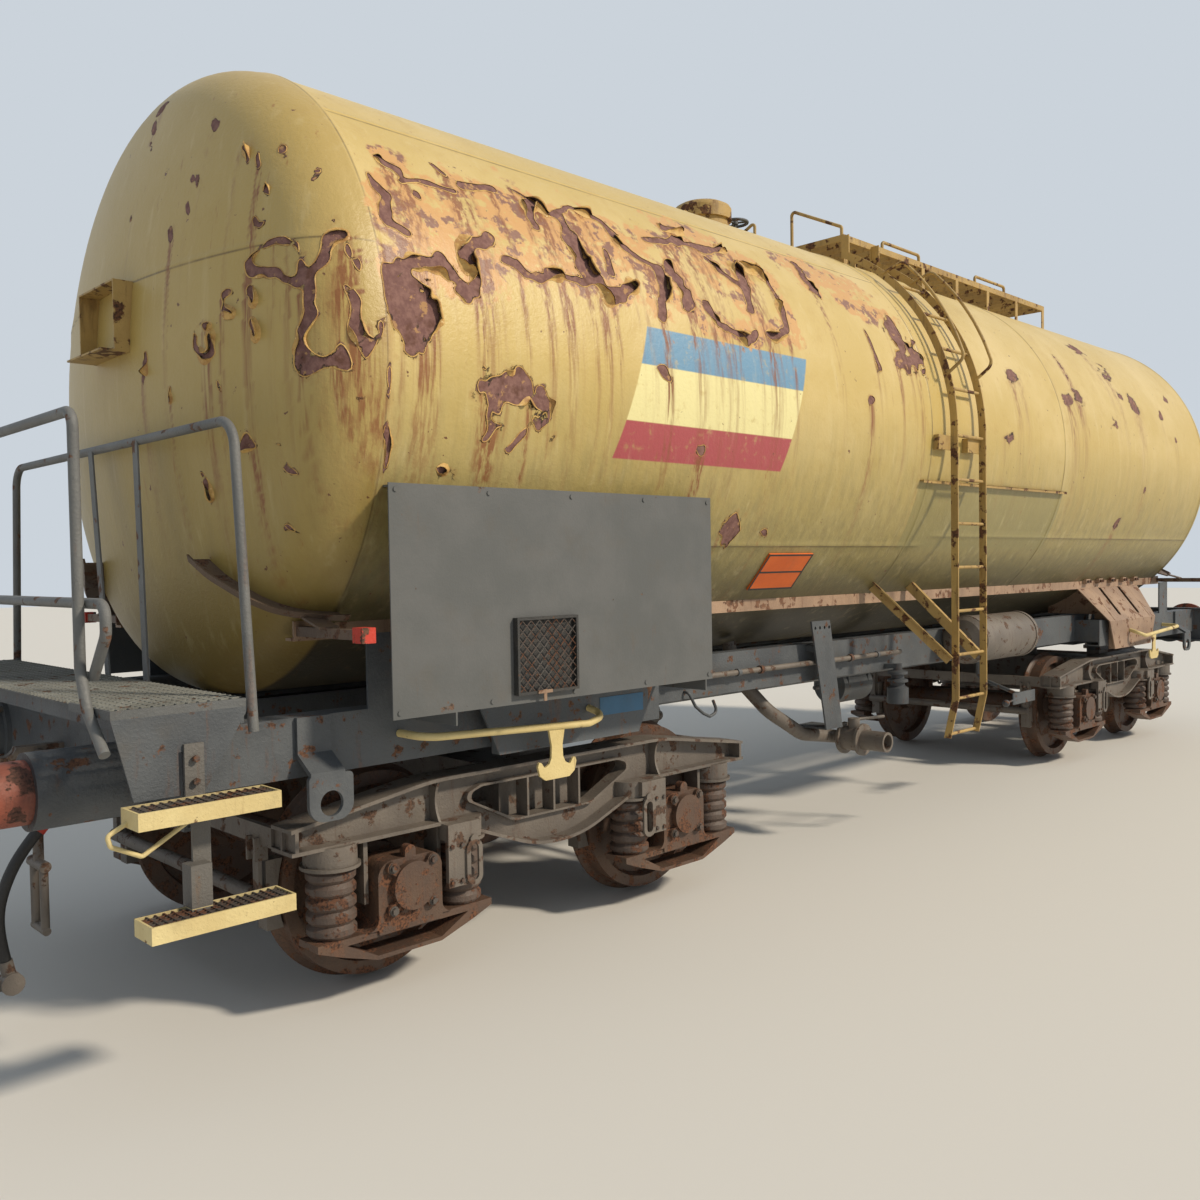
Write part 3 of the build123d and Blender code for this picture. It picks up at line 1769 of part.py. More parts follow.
# Brake cylinder under the centre sill
cylinder_z = bolster_bottom_z - brake_cylinder_radius - brake_cylinder_drop
cylinder_end_x = brake_cylinder_x + brake_cylinder_length
brake_cylinder = rod(
    (brake_cylinder_x, 0, cylinder_z),
    (cylinder_end_x, 0, cylinder_z),
    brake_cylinder_radius,
)
brake_cylinder += rod(
    (brake_cylinder_x - brake_cylinder_length / 2, 0, cylinder_z),
    (cylinder_end_x, 0, cylinder_z),
    link_radius,
)
for saddle_x in (brake_cylinder_x + link_y, cylinder_end_x - link_y):
    brake_cylinder += block(
        saddle_x - sill_web / 2,
        saddle_x + sill_web / 2,
        -brake_cylinder_radius,
        brake_cylinder_radius,
        cylinder_z,
        bolster_bottom_z,
    )
write("brake_cylinder", brake_cylinder)

# Brake tube along the right-hand solebar, in narrow clips
brake_tube = rod(
    (-end_sill_end_x + seat_gap, -brake_tube_y, brake_tube_z),
    (brake_tube_x1, -brake_tube_y, brake_tube_z),
    brake_tube_radius,
)
write("brake_tube", brake_tube)
tube_brackets = []
for clip_x in tube_clips:
    start = (clip_x, -brake_tube_y, brake_tube_z)
    end = (clip_x + tube_clip, -brake_tube_y, brake_tube_z)
    clip = rod(start, end, brake_tube_radius + tube_clip_wall) + block(
        clip_x,
        clip_x + tube_clip,
        -brake_tube_y,
        -solebar_y,
        brake_tube_z - tube_clip_half,
        brake_tube_z + tube_clip_half,
    )
    tube_brackets.append(clip - rod(start, end, brake_tube_radius + seat_gap))
write("tube_brackets", *tube_brackets)

# Changeover plate on its rod from the solebar, with a ball handle
changeover = block(
    changeover_x - changeover_half,
    changeover_x + changeover_half,
    -changeover_y,
    -changeover_y + changeover_plate,
    changeover_z - changeover_half_height,
    changeover_z + changeover_half_height,
)
rod_y = -solebar_y + sill_flange / 2
changeover += bent_rod(
    [
        (changeover_x, rod_y, solebar_bottom_z),
        (changeover_x, rod_y, changeover_z + 3 * changeover_half_height),
        (changeover_x, -changeover_y + changeover_plate / 2, changeover_z),
    ],
    4 * changeover_rod,
    changeover_rod,
)
changeover += rod(
    (changeover_ball_x, -changeover_y, changeover_ball_z),
    (changeover_x - changeover_half / 2, -changeover_y + changeover_plate / 2, changeover_z),
    changeover_rod / 2,
)
ball_centre = Plane((changeover_ball_x, -changeover_y, changeover_ball_z), z_dir=(0, 1, 0))
changeover += Solid.make_sphere(2 * changeover_rod, ball_centre)
write("changeover", changeover)

# Train pipe through both headstocks, hung from the cross bearers, and its end cocks
pipe_end_x = headstock_x + train_pipe_overhang
train_pipe = rod(
    (-pipe_end_x, -train_pipe_y, train_pipe_z), (pipe_end_x, -train_pipe_y, train_pipe_z), train_pipe_radius
)
for bearer_x in (-cross_bearer_x, cross_bearer_x):
    train_pipe += block(
        bearer_x - train_pipe_radius,
        bearer_x + train_pipe_radius,
        -train_pipe_y - sill_web / 2,
        -train_pipe_y + sill_web / 2,
        train_pipe_z,
        cross_bearer_z0,
    )
write("train_pipe", train_pipe)
fall_x, fall_z = cock_fall
cock_x = -pipe_end_x - cock_reach
cock = rod((-pipe_end_x, -train_pipe_y, train_pipe_z), (cock_x, -train_pipe_y, train_pipe_z), cock_radius)
cock += Solid.make_sphere(cock_radius * 1.25).moved(Location((cock_x, -train_pipe_y, train_pipe_z)))
nozzle_end = (cock_x - fall_x, -train_pipe_y, train_pipe_z - fall_z)
cock += rod((cock_x, -train_pipe_y, train_pipe_z), nozzle_end, cock_radius)
cock += rod(
    (cock_x, -train_pipe_y, train_pipe_z),
    (cock_x - cock_handle, -train_pipe_y - cock_handle / 2, train_pipe_z + cock_radius),
    cock_radius / 3,
)
write("end_cocks", *along(cock))

# Brake hose from the near cock, and the coupling head on its end.
# Each arc is as large as its two runs allow.
hose_points = [nozzle_end]
for outward, drop in hose_route:
    hose_points.append((nozzle_end[0] - outward, nozzle_end[1], nozzle_end[2] - drop))
hose_runs = [Vector(*b) - Vector(*a) for a, b in zip(hose_points, hose_points[1:])]
hose_bends = []
for before, after in zip(hose_runs, hose_runs[1:]):
    half_turn = radians(before.get_angle(after)) / 2
    hose_bends.append(0.45 * min(before.length, after.length) / tan(half_turn))
hose = bent_rod(hose_points, hose_bends, hose_radius)
write("brake_hose", hose)
hose_end = Vector(*hose_points[-1])
hose_way = hose_runs[-1].normalized()
coupling_head = rod(tuple(hose_end), tuple(hose_end + hose_way * ferrule_length), ferrule_radius)
claw = hose_end + hose_way * claw_set
coupling_head += rod(
    (claw.X, claw.Y - claw_half_width, claw.Z), (claw.X, claw.Y + claw_half_width, claw.Z), claw_radius
)
coupling_head += block(
    claw.X - claw_jaw,
    claw.X,
    claw.Y - hose_radius / 2,
    claw.Y + hose_radius / 2,
    claw.Z - hose_radius,
    claw.Z + hose_radius,
)
write("hose_coupling", coupling_head)

# Bogie side frames, built about the car's middle and moved to their pivots
top_line = [
    (-frame_half_length, frame_end_top_z),
    (-frame_knee_x, frame_top_z),
    (frame_knee_x, frame_top_z),
    (frame_half_length, frame_end_top_z),
]
bottom_line = [
    (-frame_half_length, frame_bottom_z),
    (-belly_start_x, frame_bottom_z),
    (-belly_half_flat, belly_z),
    (belly_half_flat, belly_z),
    (belly_start_x, frame_bottom_z),
    (frame_half_length, frame_bottom_z),
]
top_radii = [frame_knee_radius] * 2
bottom_radii = [belly_start_radius, belly_radius, belly_radius, belly_start_radius]
web_y0 = -journal_y - web_plate / 2
web_y1 = web_y0 + web_plate
web_top = FilletPolyline(*[(x, web_y0, z) for x, z in top_line], radius=top_radii)
web_bottom = FilletPolyline(*[(x, web_y0, z) for x, z in bottom_line], radius=bottom_radii)
web_ends = [Line(web_top @ 0, web_bottom @ 0), Line(web_top @ 1, web_bottom @ 1)]
side_frame = Solid.extrude(edged_face(web_top, web_bottom, *web_ends), Vector(0, web_plate, 0))
side_frame += band(
    [(x, z - flange_plate) for x, z in top_line], top_radii, flange_plate, -frame_outer_y, -frame_inner_y
)
side_frame += band(bottom_line, bottom_radii, flange_plate, -frame_outer_y, -frame_inner_y)


def window(grown):
    """Outline of the window in the side frame's web, grown all round."""
    return [
        (-window_tip_x - 2 * grown, window_tip_z),
        (-window_top_half - grown, window_top_z + grown),
        (window_top_half + grown, window_top_z + grown),
        (window_tip_x + 2 * grown, window_tip_z),
        (window_bottom_half + grown, window_bottom_z - grown),
        (-window_bottom_half - grown, window_bottom_z - grown),
    ]


window_radii = [28, 60, 60, 28, 110, 110]
rim_y0 = -journal_y - window_rim_half_depth
rim_y1 = -journal_y + window_rim_half_depth
side_frame += filleted_slab(window(window_rim), window_radii, rim_y0, rim_y1)
side_frame -= filleted_slab(window(0), window_radii, rim_y0, rim_y1)
for rib_x in (-rib_pitch, 0, rib_pitch):
    side_frame += block(
        rib_x - rib_thickness / 2,
        rib_x + rib_thickness / 2,
        rim_y0,
        rim_y1,
        window_bottom_z - window_rim / 2,
        window_top_z + window_rim / 2,
    )
rib_mid_z = (frame_top_z + frame_bottom_z) / 2
for rib_x in (-brace_rib_x, brace_rib_x):
    for side in (-1, 1):
        edge_y = -journal_y + side * (flange_half_width - seat_gap)
        top = (rib_x, edge_y, frame_top_z - flange_plate / 2)
        bottom = (rib_x, edge_y, frame_bottom_z + flange_plate / 2)
        waist = (rib_x, edge_y - side * rib_waist, rib_mid_z)
        rib = edged_face(
            ThreePointArc(top, waist, bottom),
            Line(bottom, (rib_x, -journal_y, bottom[2])),
            Line((rib_x, -journal_y, bottom[2]), (rib_x, -journal_y, top[2])),
            Line((rib_x, -journal_y, top[2]), top),
        )
        side_frame += Solid.extrude(rib, Vector(rib_thickness, 0, 0))
for end in (-1, 1):
    plate_x = end * (frame_half_length - flange_plate)
    side_frame += block(
        plate_x,
        plate_x - end * flange_plate,
        -frame_outer_y,
        -frame_inner_y,
        frame_bottom_z,
        frame_end_top_z,
    )
cap_radius = spring_radius + cap_lip
for axle_x in (-axle_offset, axle_offset):
    for spring_x in (axle_x - spring_offset, axle_x + spring_offset):
        side_frame += rod(
            (spring_x, -journal_y, spring_top_z + seat_gap),
            (spring_x, -journal_y, frame_bottom_z + flange_plate / 2),
            cap_radius,
        )
        side_frame += rod(
            (spring_x, -journal_y, spring_top_z + seat_gap),
            (spring_x, -journal_y, spring_top_z + seat_gap + cap_flange_thickness),
            cap_radius + cap_flange,
        )
    inward = 1 if axle_x < 0 else -1
    near_x, far_x, low_z, high_z = friction_box
    side_frame += block(
        axle_x + inward * near_x,
        axle_x + inward * far_x,
        -friction_y - friction_thickness,
        -friction_y,
        low_z,
        high_z,
    )
    side_frame += block(
        axle_x + inward * friction_box_head[0],
        axle_x + inward * friction_box_head[1],
        -friction_y - friction_thickness,
        -frame_outer_y + flange_plate,
        high_z,
        frame_bottom_z + flange_plate / 2,
    )
    near_x, far_x, low_z, high_z = link_plate
    link_y0 = -friction_y - friction_thickness - link_plate_thickness
    for wall, radius in ((0, (far_x - near_x) / 2), (link_plate_wall, (far_x - near_x) / 2 - link_plate_wall)):
        oblong = [
            (axle_x + inward * (near_x + wall), low_z + wall),
            (axle_x + inward * (near_x + wall), high_z - wall),
            (axle_x + inward * (far_x - wall), high_z - wall),
            (axle_x + inward * (far_x - wall), low_z + wall),
        ]
        plate = filleted_slab(oblong, radius * 0.99, link_y0, link_y0 + link_plate_thickness)
        link = plate if wall == 0 else link - plate
    side_frame += link
    side_frame += rod(
        (axle_x + inward * (near_x + far_x) / 2, link_y0, high_z),
        (axle_x + inward * (near_x + far_x) / 2, -friction_y, high_z),
        link_plate_wall,
    )
    for guide in (-1, 1):
        guide_x = axle_x + guide * (box_half_width + sway_gap)
        side_frame += block(
            guide_x,
            guide_x + guide * pedestal_thickness,
            -journal_y - pedestal_half_depth,
            -journal_y + pedestal_half_depth,
            pedestal_bottom_z,
            frame_bottom_z + flange_plate / 2,
        )

# Transom with the bowl and side bearers, end beams, and lugs for the brake hangers
beam_x = tread_radius + block_gap + block_thickness + brake_beam_radius - beam_bite
bogie_frame = side_frame + side_frame.mirror(Plane.XZ)
bogie_frame += block(
    -transom_half_length,
    transom_half_length,
    -frame_inner_y,
    frame_inner_y,
    transom_bottom_z,
    transom_top_z,
)
bogie_frame += rod((0, 0, transom_top_z), (0, 0, bowl_seat_z), bowl_radius)
hanger_y1 = block_inner_y + block_width
hanger_y0 = hanger_y1 - hanger_depth
for side in (-1, 1):
    bogie_frame += block(
        -side_bearer_half_length,
        side_bearer_half_length,
        side * side_bearer_y - side_bearer_half,
        side * side_bearer_y + side_bearer_half,
        transom_top_z,
        side_bearer_z,
    )
    bogie_frame += block(
        side * frame_half_length,
        side * (frame_half_length - end_beam_thickness),
        -frame_inner_y,
        frame_inner_y,
        end_beam_bottom_z,
        end_beam_top_z,
    )
lug_pairs = []
for end in (-1, 1):
    inner_pin_x = end * (axle_offset - beam_x)
    outer_pin_x = end * (axle_offset + beam_x)
    lug_pairs.append((inner_pin_x, end * transom_half_length, hanger_pin_z + lug_half_height))
    lug_pairs.append((outer_pin_x, outer_pin_x - end * lug_half_height, end_beam_bottom_z + lug_half_height))
for pin_x_local, root_x, lug_top_z in lug_pairs:
    outward = 1 if pin_x_local > root_x else -1
    for side in (-1, 1):
        for lug_y in (hanger_y0 - seat_gap - lug_thickness, hanger_y1 + seat_gap):
            lug = block(
                root_x,
                pin_x_local + outward * lug_half_height,
                side * lug_y,
                side * (lug_y + lug_thickness),
                hanger_pin_z - lug_half_height,
                lug_top_z,
            )
            pin_hole = rod(
                (pin_x_local, side * lug_y, hanger_pin_z),
                (pin_x_local, side * (lug_y + lug_thickness), hanger_pin_z),
                hanger_pin_radius + seat_gap,
            )
            bogie_frame += lug - pin_hole

# Axle boxes with an ear on top, their spring seats, tie bars and covers on four lugs
axle_box = filleted_slab(
    [
        (-box_half_width, box_bottom_z),
        (-box_half_width, box_top_z),
        (box_half_width, box_top_z),
        (box_half_width, box_bottom_z),
    ],
    [box_flare / 5, box_corner, box_corner, box_flare / 5],
    -box_outer_y,
    -box_inner_y,
)
ear_z = box_top_z + ear_lift
axle_box += rod((0, -box_outer_y, ear_z), (0, -box_outer_y + ear_depth, ear_z), ear_radius)
axle_box += block(
    -ear_radius, ear_radius, -box_outer_y, -box_outer_y + ear_depth, box_top_z - ear_radius, ear_z
)
for hand in (-1, 1):
    flare = edged_face(
        Polyline(
            (hand * box_half_width, -box_outer_y, spring_bottom_z + box_flare),
            (hand * box_half_width, -box_outer_y, spring_bottom_z),
            (hand * (box_half_width + box_flare), -box_outer_y, spring_bottom_z),
        ),
        ThreePointArc(
            (hand * (box_half_width + box_flare), -box_outer_y, spring_bottom_z),
            (
                hand * (box_half_width + box_flare * (1 - sin(radians(45)))),
                -box_outer_y,
                spring_bottom_z + box_flare * (1 - sin(radians(45))),
            ),
            (hand * box_half_width, -box_outer_y, spring_bottom_z + box_flare),
        ),
    )
    axle_box += Solid.extrude(flare, Vector(0, box_outer_y - box_inner_y, 0))
wing = slab_y(
    [
        (-wing_half_length, spring_bottom_z),
        (wing_half_length, spring_bottom_z),
        (wing_half_length, spring_bottom_z - wing_thickness),
        (tie_knee_x, tie_knee_z),
        (box_half_width, tie_bar_z),
        (-box_half_width, tie_bar_z),
        (-tie_knee_x, tie_knee_z),
        (-wing_half_length, spring_bottom_z - wing_thickness),
    ],
    -journal_y - wing_outer_depth,
    -journal_y + wing_inner_depth,
)
wing -= slab_y(
    [
        (-tie_knee_x + wing_thickness, spring_bottom_z - wing_thickness),
        (tie_knee_x - wing_thickness, spring_bottom_z - wing_thickness),
        (box_half_width, tie_bar_z + tie_bar_thickness),
        (-box_half_width, tie_bar_z + tie_bar_thickness),
    ],
    -journal_y - wing_outer_depth,
    -journal_y + wing_inner_depth,
)
axle_box += wing
cover_y = -box_outer_y - cover_depth
axle_box += rod((0, -box_outer_y, axle_z), (0, cover_y, axle_z), cover_radius)
lug_x, lug_z = cover_lug
lug_reach = sqrt(lug_x**2 + lug_z**2)
lug_y = -box_outer_y - cover_lug_depth
for hand in (-1, 1):
    arm = block(-lug_reach, lug_reach, lug_y, -box_outer_y, -arm_width / 2, arm_width / 2)
    axle_box += arm.rotate(Axis.Y, hand * degrees(atan2(lug_z, lug_x))).moved(Location((0, 0, axle_z)))
    for rise in (-1, 1):
        lug = (hand * lug_x, -box_outer_y, axle_z + rise * lug_z)
        axle_box += rod(lug, (lug[0], lug_y, lug[2]), cover_lug_radius)
axle_box -= rod(
    (0, -box_inner_y, axle_z), (0, -journal_end_y - sway_gap / 3, axle_z), journal_radius + journal_play
)

# Coil springs, turned with one groove for each gap between turns
turn_height = (spring_top_z - spring_bottom_z) / spring_turns
spring_edge = []
for turn in range(spring_turns):
    low = spring_bottom_z + turn * turn_height
    spring_edge.append((spring_radius - spring_groove, low))
    spring_edge.append((spring_radius, low + turn_height * 0.3))
    spring_edge.append((spring_radius, low + turn_height * 0.7))
spring_edge.append((spring_radius - spring_groove, spring_top_z))
spring = upright(spring_edge, 0, 0)
axle_boxes = []
springs = []
for axle_x in (-axle_offset, axle_offset):
    axle_boxes += across(axle_box.moved(Location((axle_x, 0, 0))))
    for offset in (-spring_offset, spring_offset):
        springs += across(spring.moved(Location((axle_x + offset, -journal_y, 0))))

# Brake blocks on beams, hung from the lugs, with push rods between the inner beams
block_far = tread_radius + block_gap + block_thickness
brake_gear = []
inner_beams = []
for axle_x in (-axle_offset, axle_offset):
    for side in (-1, 1):
        hung_x = axle_x + side * beam_x
        gear = rod((hung_x, -hanger_y1, axle_z), (hung_x, hanger_y1, axle_z), brake_beam_radius)
        for hand in (-1, 1):
            shoe = block(
                axle_x,
                axle_x + side * block_far,
                hand * block_inner_y,
                hand * hanger_y1,
                axle_z - block_half_height,
                axle_z + block_half_height,
            )
            shoe -= rod(
                (axle_x, -journal_y, axle_z), (axle_x, journal_y, axle_z), tread_radius + block_gap
            )
            gear += shoe
            gear += block(
                hung_x - hanger_width / 2,
                hung_x + hanger_width / 2,
                hand * hanger_y0,
                hand * hanger_y1,
                axle_z,
                hanger_pin_z + hanger_pin_radius * 1.5,
            )
            gear += rod(
                (hung_x, hand * (hanger_y0 - lug_thickness - seat_gap), hanger_pin_z),
                (hung_x, hand * (hanger_y1 + lug_thickness + seat_gap), hanger_pin_z),
                hanger_pin_radius,
            )
        if side * axle_x < 0:
            inner_beams.append(gear)
        else:
            brake_gear.append(gear)
linked = inner_beams[0] + inner_beams[1]
inner_x = axle_offset - beam_x
for hand in (-1, 1):
    linked += rod(
        (-inner_x, hand * push_rod_y, axle_z),
        (inner_x, hand * push_rod_y, axle_z),
        push_rod_radius,
    )
brake_gear.append(linked)

for name, end in (("near", -1), ("far", 1)):
    place = Location((end * pivot_x, 0, 0))
    write(f"bogie_frame_{name}", bogie_frame.moved(place))
    write(f"axle_boxes_{name}", *[shape.moved(place) for shape in axle_boxes])
    write(f"springs_{name}", *[shape.moved(place) for shape in springs])
    write(f"brake_gear_{name}", *[shape.moved(place) for shape in brake_gear])

# Wheelsets
axle_line = Axis((0, 0, axle_z), (0, 1, 0))
hub_end_y = wheel_back_y + tyre_width + hub_overhang
axle = turned(
    [
        (0, y, axle_z + radius)
        for y, radius in (
            (0, 0),
            (0, axle_radius),
            (wheel_back_y - 2 * hub_overhang, axle_radius),
            (wheel_back_y - hub_overhang, seat_radius),
            (hub_end_y, seat_radius),
            (box_inner_y - 2 * hub_overhang, journal_radius),
            (journal_end_y, journal_radius),
            (journal_end_y, 0),
        )
    ],
    axle_line,
)
axle = axle + axle.mirror(Plane.XZ)
rim_inner = tread_radius - rim_depth
web_mid_y = wheel_back_y + tyre_width / 2
web_back_y = web_mid_y - web_thickness / 2
web_front_y = web_mid_y + web_thickness / 2
wheel = turned(
    [
        (0, y, axle_z + radius)
        for y, radius in (
            (wheel_back_y - hub_overhang, seat_radius),
            (wheel_back_y - hub_overhang, hub_radius),
            (web_back_y, hub_radius + web_fillet),
            (web_back_y, rim_inner - web_fillet),
            (wheel_back_y, rim_inner),
            (wheel_back_y, tread_radius + flange_height * 0.7),
            (wheel_back_y + flange_tip[0], tread_radius + flange_height),
            (wheel_back_y + flange_tip[1], tread_radius + flange_height),
            (wheel_back_y + flange_flank[0], tread_radius + flange_height * 0.3),
            (wheel_back_y + flange_flank[1], tread_radius),
            (wheel_back_y + tyre_width, tread_radius - tread_fall),
            (wheel_back_y + tyre_width, rim_inner),
            (web_front_y, rim_inner - web_fillet),
            (web_front_y, hub_radius + web_fillet),
            (hub_end_y, hub_radius),
            (hub_end_y, seat_radius),
        )
    ],
    axle_line,
)
for number, (end, offset) in enumerate(((-1, -1), (-1, 1), (1, -1), (1, 1)), start=1):
    place = Location((end * pivot_x + offset * axle_offset, 0, 0))
    write(f"axle_{number}", axle.moved(place))
    write(f"wheels_{number}", *[shape.moved(place) for shape in across(wheel)])
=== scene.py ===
# %% [markdown]
# # Railway tank car
#
# A four-axle tank car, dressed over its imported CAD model. That model is the frame: all below sits
# in its coordinates, in metres. +X runs along the car away from the end platform, -Y is the side
# in the photograph, +Z is up. Each piece rides on one of the frame's bodies and moves with it.

import bpy
import math
import numpy as np
from mathutils import Matrix, Vector, noise


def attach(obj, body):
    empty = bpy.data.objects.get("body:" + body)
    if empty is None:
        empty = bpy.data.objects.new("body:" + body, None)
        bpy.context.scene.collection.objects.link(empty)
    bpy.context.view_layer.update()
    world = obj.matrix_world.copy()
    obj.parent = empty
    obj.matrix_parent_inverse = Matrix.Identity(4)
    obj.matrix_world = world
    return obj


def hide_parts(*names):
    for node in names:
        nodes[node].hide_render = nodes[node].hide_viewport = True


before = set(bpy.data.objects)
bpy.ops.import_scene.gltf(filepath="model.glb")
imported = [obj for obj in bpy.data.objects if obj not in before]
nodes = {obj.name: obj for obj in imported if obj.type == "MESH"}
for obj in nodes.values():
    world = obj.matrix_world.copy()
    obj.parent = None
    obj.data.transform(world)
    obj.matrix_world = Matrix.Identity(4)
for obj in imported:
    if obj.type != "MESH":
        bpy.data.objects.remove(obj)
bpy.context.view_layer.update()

# %% [markdown]
# ## Camera
#
# The photograph was taken beside the near end, at the height of a person's eyes. A camera could be
# set by eye, but then its picture would not lie over the photograph. Here its place, angles and
# lens come from a fit to the tank's outlines and seams.

# %% Camera
picture_pixels, lens_pixels, sensor_mm = 1200, 1084.2, 36
camera_data = bpy.data.cameras.new("camera")
camera_data.sensor_width = sensor_mm
camera_data.lens = sensor_mm * lens_pixels / picture_pixels
camera = bpy.data.objects.new("camera", camera_data)
camera.matrix_world = Matrix.Translation((-7.248, -5.026, 1.862))
for angle, axis in ((-44.4357, "Z"), (88.1151, "X"), (-0.8957, "Z")):  # heading, tilt and roll
    camera.matrix_world = camera.matrix_world @ Matrix.Rotation(math.radians(angle), 4, axis)
bpy.context.scene.collection.objects.link(camera)
bpy.context.scene.camera = camera
print("camera lens", round(camera_data.lens, 2), "mm")

# %% [markdown]
# ## Helpers
#
# Colours are read off a picture as they look on a screen, while shaders want linear light, so one
# function turns them. Nodes and meshes could be made by hand in the editors; here one function
# adds a node and one makes an object, which keeps each step to a line.


# %% Colours, nodes and meshes
def linear(code):
    """An RGBA colour in linear light from six hexadecimal digits."""
    values = [int(code[i : i + 2], 16) / 255 for i in (0, 2, 4)]
    return [v / 12.92 if v <= 0.04045 else ((v + 0.055) / 1.055) ** 2.4 for v in values] + [1.0]


def add(tree, kind, inputs={}, **settings):
    """A new shader node; an input is a number, a colour, a node or a node's output."""
    made = tree.nodes.new("ShaderNode" + kind)
    for name, value in settings.items():
        setattr(made, name, value)
    for key, value in inputs.items():
        if isinstance(value, bpy.types.Node):
            value = next(out for out in value.outputs if out.enabled)
        if isinstance(value, bpy.types.NodeSocket):
            tree.links.new(value, made.inputs[key])
        else:
            made.inputs[key].default_value = value
    return made


def new_material(name):
    """A material with an empty node tree, and the tree."""
    made = bpy.data.materials.new(name)
    made.use_nodes = True
    made.node_tree.nodes.clear()
    return made, made.node_tree


def make_object(name, vertices, faces, material, smooth=True):
    """A mesh object in the frame's coordinates."""
    mesh = bpy.data.meshes.new(name)
    mesh.from_pydata([tuple(v) for v in vertices], [], faces)
    mesh.polygons.foreach_set("use_smooth", [smooth] * len(mesh.polygons))
    mesh.materials.append(material)
    made = bpy.data.objects.new(name, mesh)
    bpy.context.scene.collection.objects.link(made)
    return made


print("mid grey is", round(linear("808080")[0], 3), "in linear light")

# %% [markdown]
# ## Brake hose
#
# A rubber hose hangs from the near end cock. It could be a swept mesh; a curve with a round bevel
# stays a line that can be moved. The radius is given at its points and the bevel's depth is 1,
# since Blender widens the curve's box by the radius at its points.

# %% Brake hose
hose_diameter = 0.046
hose_route = [
    (-5.830, -0.300, 0.815),
    (-5.895, -0.300, 0.740),
    (-5.950, -0.300, 0.640),
    (-5.985, -0.300, 0.530),
    (-5.985, -0.300, 0.420),
    (-5.965, -0.300, 0.320),
]
hose_curve = bpy.data.curves.new("hose", "CURVE")
hose_curve.dimensions = "3D"
spline = hose_curve.splines.new("NURBS")
spline.points.add(len(hose_route) - 1)
for point, place in zip(spline.points, hose_route):
    point.co = (*place, 1)
    point.radius = hose_diameter / 2
spline.order_u = 3
spline.use_endpoint_u = True
hose_curve.bevel_depth = 1
hose_curve.bevel_resolution = 6
hose = bpy.data.objects.new("hose", hose_curve)
bpy.context.scene.collection.objects.link(hose)
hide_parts("brake_hose")
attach(hose, "car")

# %% [markdown]
# ## Patterns
#
# Old paint on steel shows spots of rust, streaks, dust and fading. They could be painted on
# images; noise needs no picture, has no seams, and keeps its real size: 40 mm grains have a scale
# of 1 / 0.04. Each helper makes a mask that is 0 or 1 with a soft edge.


# %% Masks
def ramp(tree, value, low, high, start=0.0, stop=1.0, **settings):
    """Goes from start to stop while a value goes from low to high."""
    inputs = {"Value": value, "From Min": low, "From Max": high, "To Min": start, "To Max": stop}
    return add(tree, "MapRange", inputs, **settings)


def spots(tree, grain, low, high, stretch=(1, 1, 1), detail=5, seed=0):
    """Ragged spots: 0 below the low noise level and 1 above the high one."""
    place = add(tree, "TexCoord").outputs["Object"]
    spread = {"Vector": place, "Scale": stretch, "Location": (seed, seed, seed)}
    settings = {"Scale": 1 / grain, "Detail": detail, "Roughness": 0.62}
    grains = add(tree, "TexNoise", {"Vector": add(tree, "Mapping", spread), **settings})
    return ramp(tree, grains.outputs["Fac"], low, high, interpolation_type="SMOOTHSTEP")


def merge(tree, operation, masks):
    """One value from several, two at a time."""
    whole = masks[0]
    for mask in masks[1:]:
        whole = add(tree, "Math", {0: whole, 1: mask}, operation=operation)
    return whole


def both(tree, *masks):
    """1 where all the masks are; a number among them weakens the result."""
    return merge(tree, "MULTIPLY", masks)


def either(tree, *masks):
    """1 where any of the masks is."""
    return merge(tree, "MAXIMUM", masks)


def compare(tree, value, low, high, soft=0.001):
    """1 where the value lies between two levels."""
    over = ramp(tree, value, low - soft, low + soft)
    return both(tree, over, ramp(tree, value, high + soft, high - soft))


def coordinates(tree):
    """X, distance from the car's middle plane and Z as three sockets."""
    place = add(tree, "TexCoord").outputs["Object"]
    parts = add(tree, "SeparateXYZ", {"Vector": place})
    off_middle = add(tree, "Math", {0: parts.outputs["Y"]}, operation="ABSOLUTE")
    return parts.outputs["X"], off_middle, parts.outputs["Z"]


print("masks ready")


# %% Layers of paint
def layer(tree, below, above, mask):
    """The colour above over the colour below where the mask is 1."""
    return add(tree, "Mix", {0: mask, 6: below, 7: above}, data_type="RGBA")


def coat(tree, below, code, *masks):
    """A plain colour over what is below, where all the masks are 1."""
    return layer(tree, below, linear(code), both(tree, *masks))


def two_tone(tree, first, second, *pattern, **settings):
    """Two plain colours, the second in spots over the first."""
    return coat(tree, linear(first), second, spots(tree, *pattern, **settings))


def finish_surface(tree, colour, roughness, height, depth):
    """The shader, with relief of a depth in metres."""
    bump = add(tree, "Bump", {"Height": height, "Distance": depth, "Strength": 1.0})
    inputs = {"Base Color": colour, "Roughness": roughness, "Normal": bump}
    surface = add(tree, "BsdfPrincipled", inputs)
    add(tree, "OutputMaterial", {"Surface": surface})


